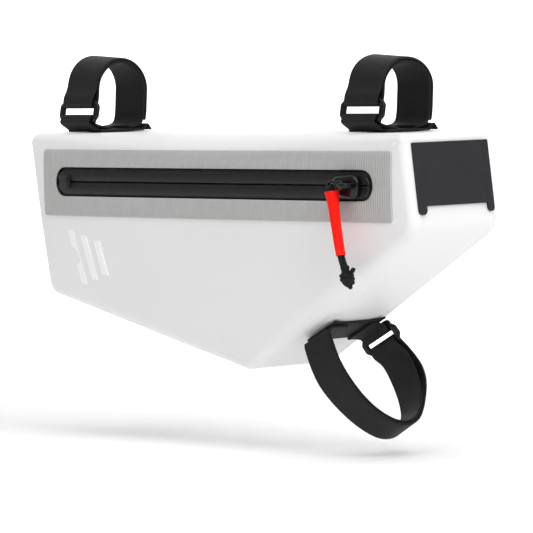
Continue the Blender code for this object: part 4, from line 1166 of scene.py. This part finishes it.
def tint(material, shader, mask, dark, light):
    """Colour between two sRGB values by a mask."""
    mixed = add_node(material, "Mix", {0: mask, 6: srgb(dark), 7: srgb(light)}, data_type="RGBA")
    material.node_tree.links.new(mixed.outputs[2], shader.inputs["Base Color"])


def relief(material, shader, rows):
    """Bumps one over another: each row is a height and its depth in metres."""
    before = None
    for height, depth in rows:
        inputs = {"Strength": 1.0, "Distance": depth, "Height": height}
        if before:
            inputs["Normal"] = (before, "Normal")
        before = add_node(material, "Bump", inputs)
    material.node_tree.links.new(before.outputs["Normal"], shader.inputs["Normal"])


def pattern(material, place, size, ridges="", detail=3.0, distortion=0.0):
    """Noise with lumps of a size in metres, or even ridges of that pitch along one axis.

    Blender's bands repeat each 0.314 of a unit.
    """
    if not ridges:
        return add_node(material, "TexNoise", {"Vector": place, "Scale": 1.0 / size, "Detail": detail}), "Fac"
    inputs = {"Vector": place, "Scale": 0.314159 / size, "Distortion": distortion, "Detail": 1.0}
    return add_node(material, "TexWave", inputs, wave_type="BANDS", bands_direction=ridges), "Fac"


def mottled(name, roughness, colours, patch, bumps, detail=3.0, **sockets):
    """A finish whose colour drifts in patches of a size, over noise bumps of sizes and depths."""
    material, shader = start_material(name, roughness, **sockets)
    place = (add_node(material, "TexCoord"), "Object")
    tint(material, shader, pattern(material, place, patch, detail=detail), *colours)
    relief(material, shader, [(pattern(material, place, size), depth) for size, depth in bumps])
    return material


def coated_laminate():
    """TPU-coated polyester, calendered smooth: an even white with a soft broad sheen and a fine peel."""
    return mottled("white_tpu_laminate", 0.46, ("#EDEDEE", "#F1F1F1"), 0.045,
                   ((0.0016, 0.00004), (0.012, 0.00016)), 2.0, IOR=1.47)


def zip_coating():
    """Water-resistant zip tape: woven polyester under a thin matt polyurethane film."""
    return mottled("coated_zip_tape", 0.48, ("#131315", "#1C1C1E"), 0.006,
                   ((0.0009, 0.00007), (0.004, 0.00012)), IOR=1.5, Specular_IOR_Level=0.3)


def ring_plastic():
    """Moulded acetal: dark, satin, with the faint texture of a spark-eroded mould."""
    return mottled("moulded_acetal", 0.36, ("#0F0F10", "#161617"), 0.003,
                   ((0.0005, 0.00002),), IOR=1.48, Specular_IOR_Level=0.3)


def lacquered_zinc():
    """Die-cast zinc under black lacquer: a dark base with clear highlights."""
    return mottled("lacquered_zinc", 0.32, ("#050506", "#0C0C0D"), 0.002, ((0.0012, 0.00003),),
                   IOR=1.5, Specular_IOR_Level=0.3, Coat_Weight=0.3, Coat_Roughness=0.08)


def moulded_rim():
    """Moulded polyurethane rim: black and glossy."""
    return mottled("moulded_polyurethane", 0.20, ("#0E0E10", "#171719"), 0.003,
                   ((0.0010, 0.00002),), IOR=1.5, Specular_IOR_Level=0.35)


def flap_coating():
    """Polyurethane-coated nylon flap: matt charcoal with a fine leathery grain."""
    return mottled("coated_flap_nylon", 0.62, ("#27272A", "#2E2E31"), 0.012,
                   ((0.0009, 0.00006), (0.010, 0.00020)), IOR=1.5, Specular_IOR_Level=0.25)


def print_ink():
    """Screen-printed ink: a brighter white with a slight gloss."""
    return mottled("screen_printed_ink", 0.36, ("#FBFBFB", "#FFFFFF"), 0.010,
                   ((0.0016, 0.00003),), IOR=1.5)


def ribbed_cloth():
    """Ribbed nylon facing: fine upright ribs. Their real pitch is about 1 mm; 1.6 mm lets them show. The grey
    holds painted shade in the rib grooves, broken by random streaks of the cloth's own tone.
    """
    material, shader = start_material("ribbed_nylon_facing", 0.82, IOR=1.5)
    place = (add_node(material, "TexCoord"), "Object")
    ribs = pattern(material, place, 0.0016, "X", distortion=0.6)
    streak = pattern(material, place, 0.004, detail=4.0)
    # Painted shade: the grey follows the ribs' bump height and is darker in the grooves, times random
    # streaks.
    mask = add_node(material, "Math", {0: ribs, 1: streak}, operation="MULTIPLY"), "Value"
    tint(material, shader, mask, "#B2B2B1", "#C8C8C7")
    relief(material, shader, ((ribs, 0.00022), (pattern(material, place, 0.0008), 0.00008)))
    return material


def webbing_weave():
    """Hook-and-loop webbing: woven nylon with a low pile, ribs across at 1.2 mm and a soft sheen."""
    material, shader = start_material("woven_nylon_webbing", 0.62, IOR=1.5, Specular_IOR_Level=0.22,
                                      Sheen_Weight=0.05, Sheen_Roughness=0.4)
    place = (add_node(material, "TexCoord"), "UV")
    weft = pattern(material, place, 0.0012, "Y")
    warp = pattern(material, place, 0.0016, "X")
    weave = add_node(material, "Math", {0: weft, 1: warp}, operation="MULTIPLY"), "Value"
    tint(material, shader, pattern(material, place, 0.005), "#131314", "#1B1B1D")
    relief(material, shader, ((weave, 0.00006), (pattern(material, place, 0.0009), 0.00005)))
    return material


def shrink_sleeve():
    """Heat-shrunk polyolefin sleeve: bright red, satin, with faint lengthwise draw marks."""
    material, shader = start_material("shrunk_polyolefin", 0.45, IOR=1.49, Specular_IOR_Level=0.12)
    place = (add_node(material, "TexCoord"), "UV")
    stretched = add_node(material, "Mapping", {"Vector": place, "Scale": (1.0, 0.12, 1.0)}), "Vector"
    tint(material, shader, pattern(material, stretched, 0.0015), "#FA1408", "#FF2010")
    relief(material, shader, ((pattern(material, stretched, 0.0012), 0.00006),))
    return material


def braided_cord():
    """Braided nylon cord: two crossing sets of strands at 45 degrees to its length, 1.1 mm apart, with
    painted shade in the hollows between strands.
    """
    material, shader = start_material("braided_nylon", 0.62, IOR=1.5, Specular_IOR_Level=0.2)
    place = (add_node(material, "TexCoord"), "UV")
    sets = []
    for degrees in (45, -45):
        turned = add_node(material, "Mapping", {"Vector": place, "Rotation": (0, 0, math.radians(degrees))})
        sets.append(pattern(material, (turned, "Vector"), 0.0011, "X"))
    braid = add_node(material, "Math", {0: sets[0], 1: sets[1]}, operation="MAXIMUM"), "Value"
    # Painted shade: the colour follows the braid's bump height and is darker in the hollows between strands.
    tint(material, shader, braid, "#070708", "#1E1E20")
    relief(material, shader, ((braid, 0.00022),))
    return material


# ---- Studio

def stand(thing, right, up, back, place):
    """Puts a camera or a lamp into the scene, its axes and its place given."""
    bpy.context.scene.collection.objects.link(thing)
    matrix = np.eye(4)
    matrix[:3] = np.column_stack([right, up, back, place])
    thing.matrix_world = Matrix(matrix.tolist())


def make_camera():
    """The photograph's camera: a long lens at the fitted turn, rise, roll and distance."""
    turn, rise, roll = (math.radians(a) for a in (VIEW_TURN, VIEW_RISE, VIEW_ROLL))
    back = np.array((math.sin(turn) * math.cos(rise), -math.cos(turn) * math.cos(rise), math.sin(rise)))
    right = unit(np.cross((0.0, 0.0, 1.0), back))
    up = np.cross(back, right)
    level = math.cos(roll) * right + math.sin(roll) * up
    upright = -math.sin(roll) * right + math.cos(roll) * up
    place = np.array(VIEW_TARGET) + back * VIEW_DISTANCE
    data = bpy.data.cameras.new("photo_camera")
    data.sensor_width = SENSOR_MM
    data.lens = FOCAL_PIXELS / PHOTO_PIXELS * SENSOR_MM
    camera = bpy.data.objects.new("photo_camera", data)
    stand(camera, level, upright, back, place)
    bpy.context.scene.camera = camera
    return back, right


def soft_light(name, place, size, power):
    """A square softbox that faces the bag."""
    data = bpy.data.lights.new(name, "AREA")
    data.shape = "SQUARE"
    data.size = size
    data.energy = power
    lamp = bpy.data.objects.new(name, data)
    back = unit(np.array(place) - np.array(VIEW_TARGET))
    right = unit(np.cross((0.0, 0.0, 1.0), back))
    stand(lamp, right, np.cross(back, right), back, place)


def make_stage(back, right):
    """A pale floor and, from a little way behind the bag, a brighter sweep, both square to the camera."""
    away = -unit(back * (1, 1, 0))
    sweep = np.radians(np.linspace(-90, 0, 24))
    far = np.concatenate([[SWEEP_START, SWEEP_FLAT_END], SWEEP_CENTRE + SWEEP_RADIUS * np.cos(sweep),
                          [SWEEP_CENTRE + SWEEP_RADIUS]])
    high = np.concatenate([[0.0, 0.0], SWEEP_RADIUS + SWEEP_RADIUS * np.sin(sweep), [SWEEP_TOP]])
    near = np.array((-STAGE_REACH, -STAGE_REACH / 2, 0.0, SWEEP_START / 2, SWEEP_START))
    parts = (("studio_floor", near, np.zeros(5), FLOOR_GLOW), ("studio_sweep", far, high, SWEEP_GLOW))
    wide = np.linspace(-STAGE_REACH, STAGE_REACH, 13)
    for name, depth, height, glow in parts:
        points = (away * depth[:, None, None] + right * wide[None, :, None]
                  + np.array((0.0, 0.0, 1.0)) * (height + FLOOR_Z)[:, None, None])
        faces = grid_faces(len(depth), len(wide), False, False)[0]
        mesh = bpy.data.meshes.new(name)
        mesh.from_pydata(points.reshape(-1, 3).tolist(), [], faces.tolist())
        mesh.shade_smooth()
        material, shader = start_material(name + "_paper", 0.9)
        shader.inputs["Base Color"].default_value = srgb("#FAFAFA")
        shader.inputs["Emission Color"].default_value = (1.0, 1.0, 1.0, 1.0)
        shader.inputs["Emission Strength"].default_value = glow
        mesh.materials.append(material)
        part = bpy.data.objects.new(name, mesh)
        bpy.context.scene.collection.objects.link(part)


view_back, view_right = make_camera()

cord_finish = braided_cord()
sleeve = fit(make_sleeve(shrink_sleeve()), "red_sleeve", "pull_sleeve")
knot = fit(make_knot(cord_finish), "black_cord", "pull_knot")
make_strand("pull_strand_front", -1, cord_finish)
make_strand("pull_strand_back", 1, cord_finish)

fit(make_shell(coated_laminate()), "white_coated_fabric", "bag_body")
fit(make_print(print_ink()), "white_coated_fabric")
fit(make_panel(ribbed_cloth()), "grey_ribbed_fabric", "zip_surround")
zip_finish = zip_coating()
fit(make_lip("zip_lip_upper", 1, zip_finish), "black_tape", "zip_tape_upper")
fit(make_lip("zip_lip_lower", -1, zip_finish), "black_tape", "zip_tape_lower")
fit(make_end_pad(zip_finish), "black_tape", "zip_end_pad")
fit(make_garage(moulded_rim()), "black_tape", "zip_garage_rim")
zinc = lacquered_zinc()
fit(make_slider(zinc), "black_coated_metal", "slider_body")
fit(make_tab(zinc), "black_coated_metal", "pull_tab")
fit(make_flap(flap_coating()), "black_tape", "port_flap")

webbing_finish, plastic_finish = webbing_weave(), ring_plastic()
for name, loop_height in (("tail", TAIL_LOOP_HEIGHT), ("head", HEAD_LOOP_HEIGHT)):
    make_strap_set(name, top_inner_path(STRAP_FRAMES[name], loop_height), -1, (STRAP_WIDTH, RING_HEIGHT),
                   (TOP_LAP_SHARE, 0.0, TOP_LAP_SHARE), (0.0, TOP_LOOP_LEAN), webbing_finish, plastic_finish)
make_strap_set("lower", lower_inner_path(STRAP_FRAMES["lower"]), 1, (LOWER_STRAP_WIDTH, LOWER_RING_HEIGHT),
               (LOWER_LAP_SHARE, LOWER_LAP_BULGE, LOWER_BULGE_SHARE), (LOWER_LOOP_TWIST, 0.0),
               webbing_finish, plastic_finish)

make_stage(view_back, view_right)
world = bpy.data.worlds.new("studio_air")
world.use_nodes = True
air = world.node_tree.nodes["Background"]
air.inputs["Color"].default_value = (1.0, 1.0, 1.0, 1.0)
air.inputs["Strength"].default_value = WORLD_STRENGTH
bpy.context.scene.world = world
bpy.context.scene.view_settings.view_transform = "Standard"
for softbox in SOFTBOXES:
    soft_light(*softbox)
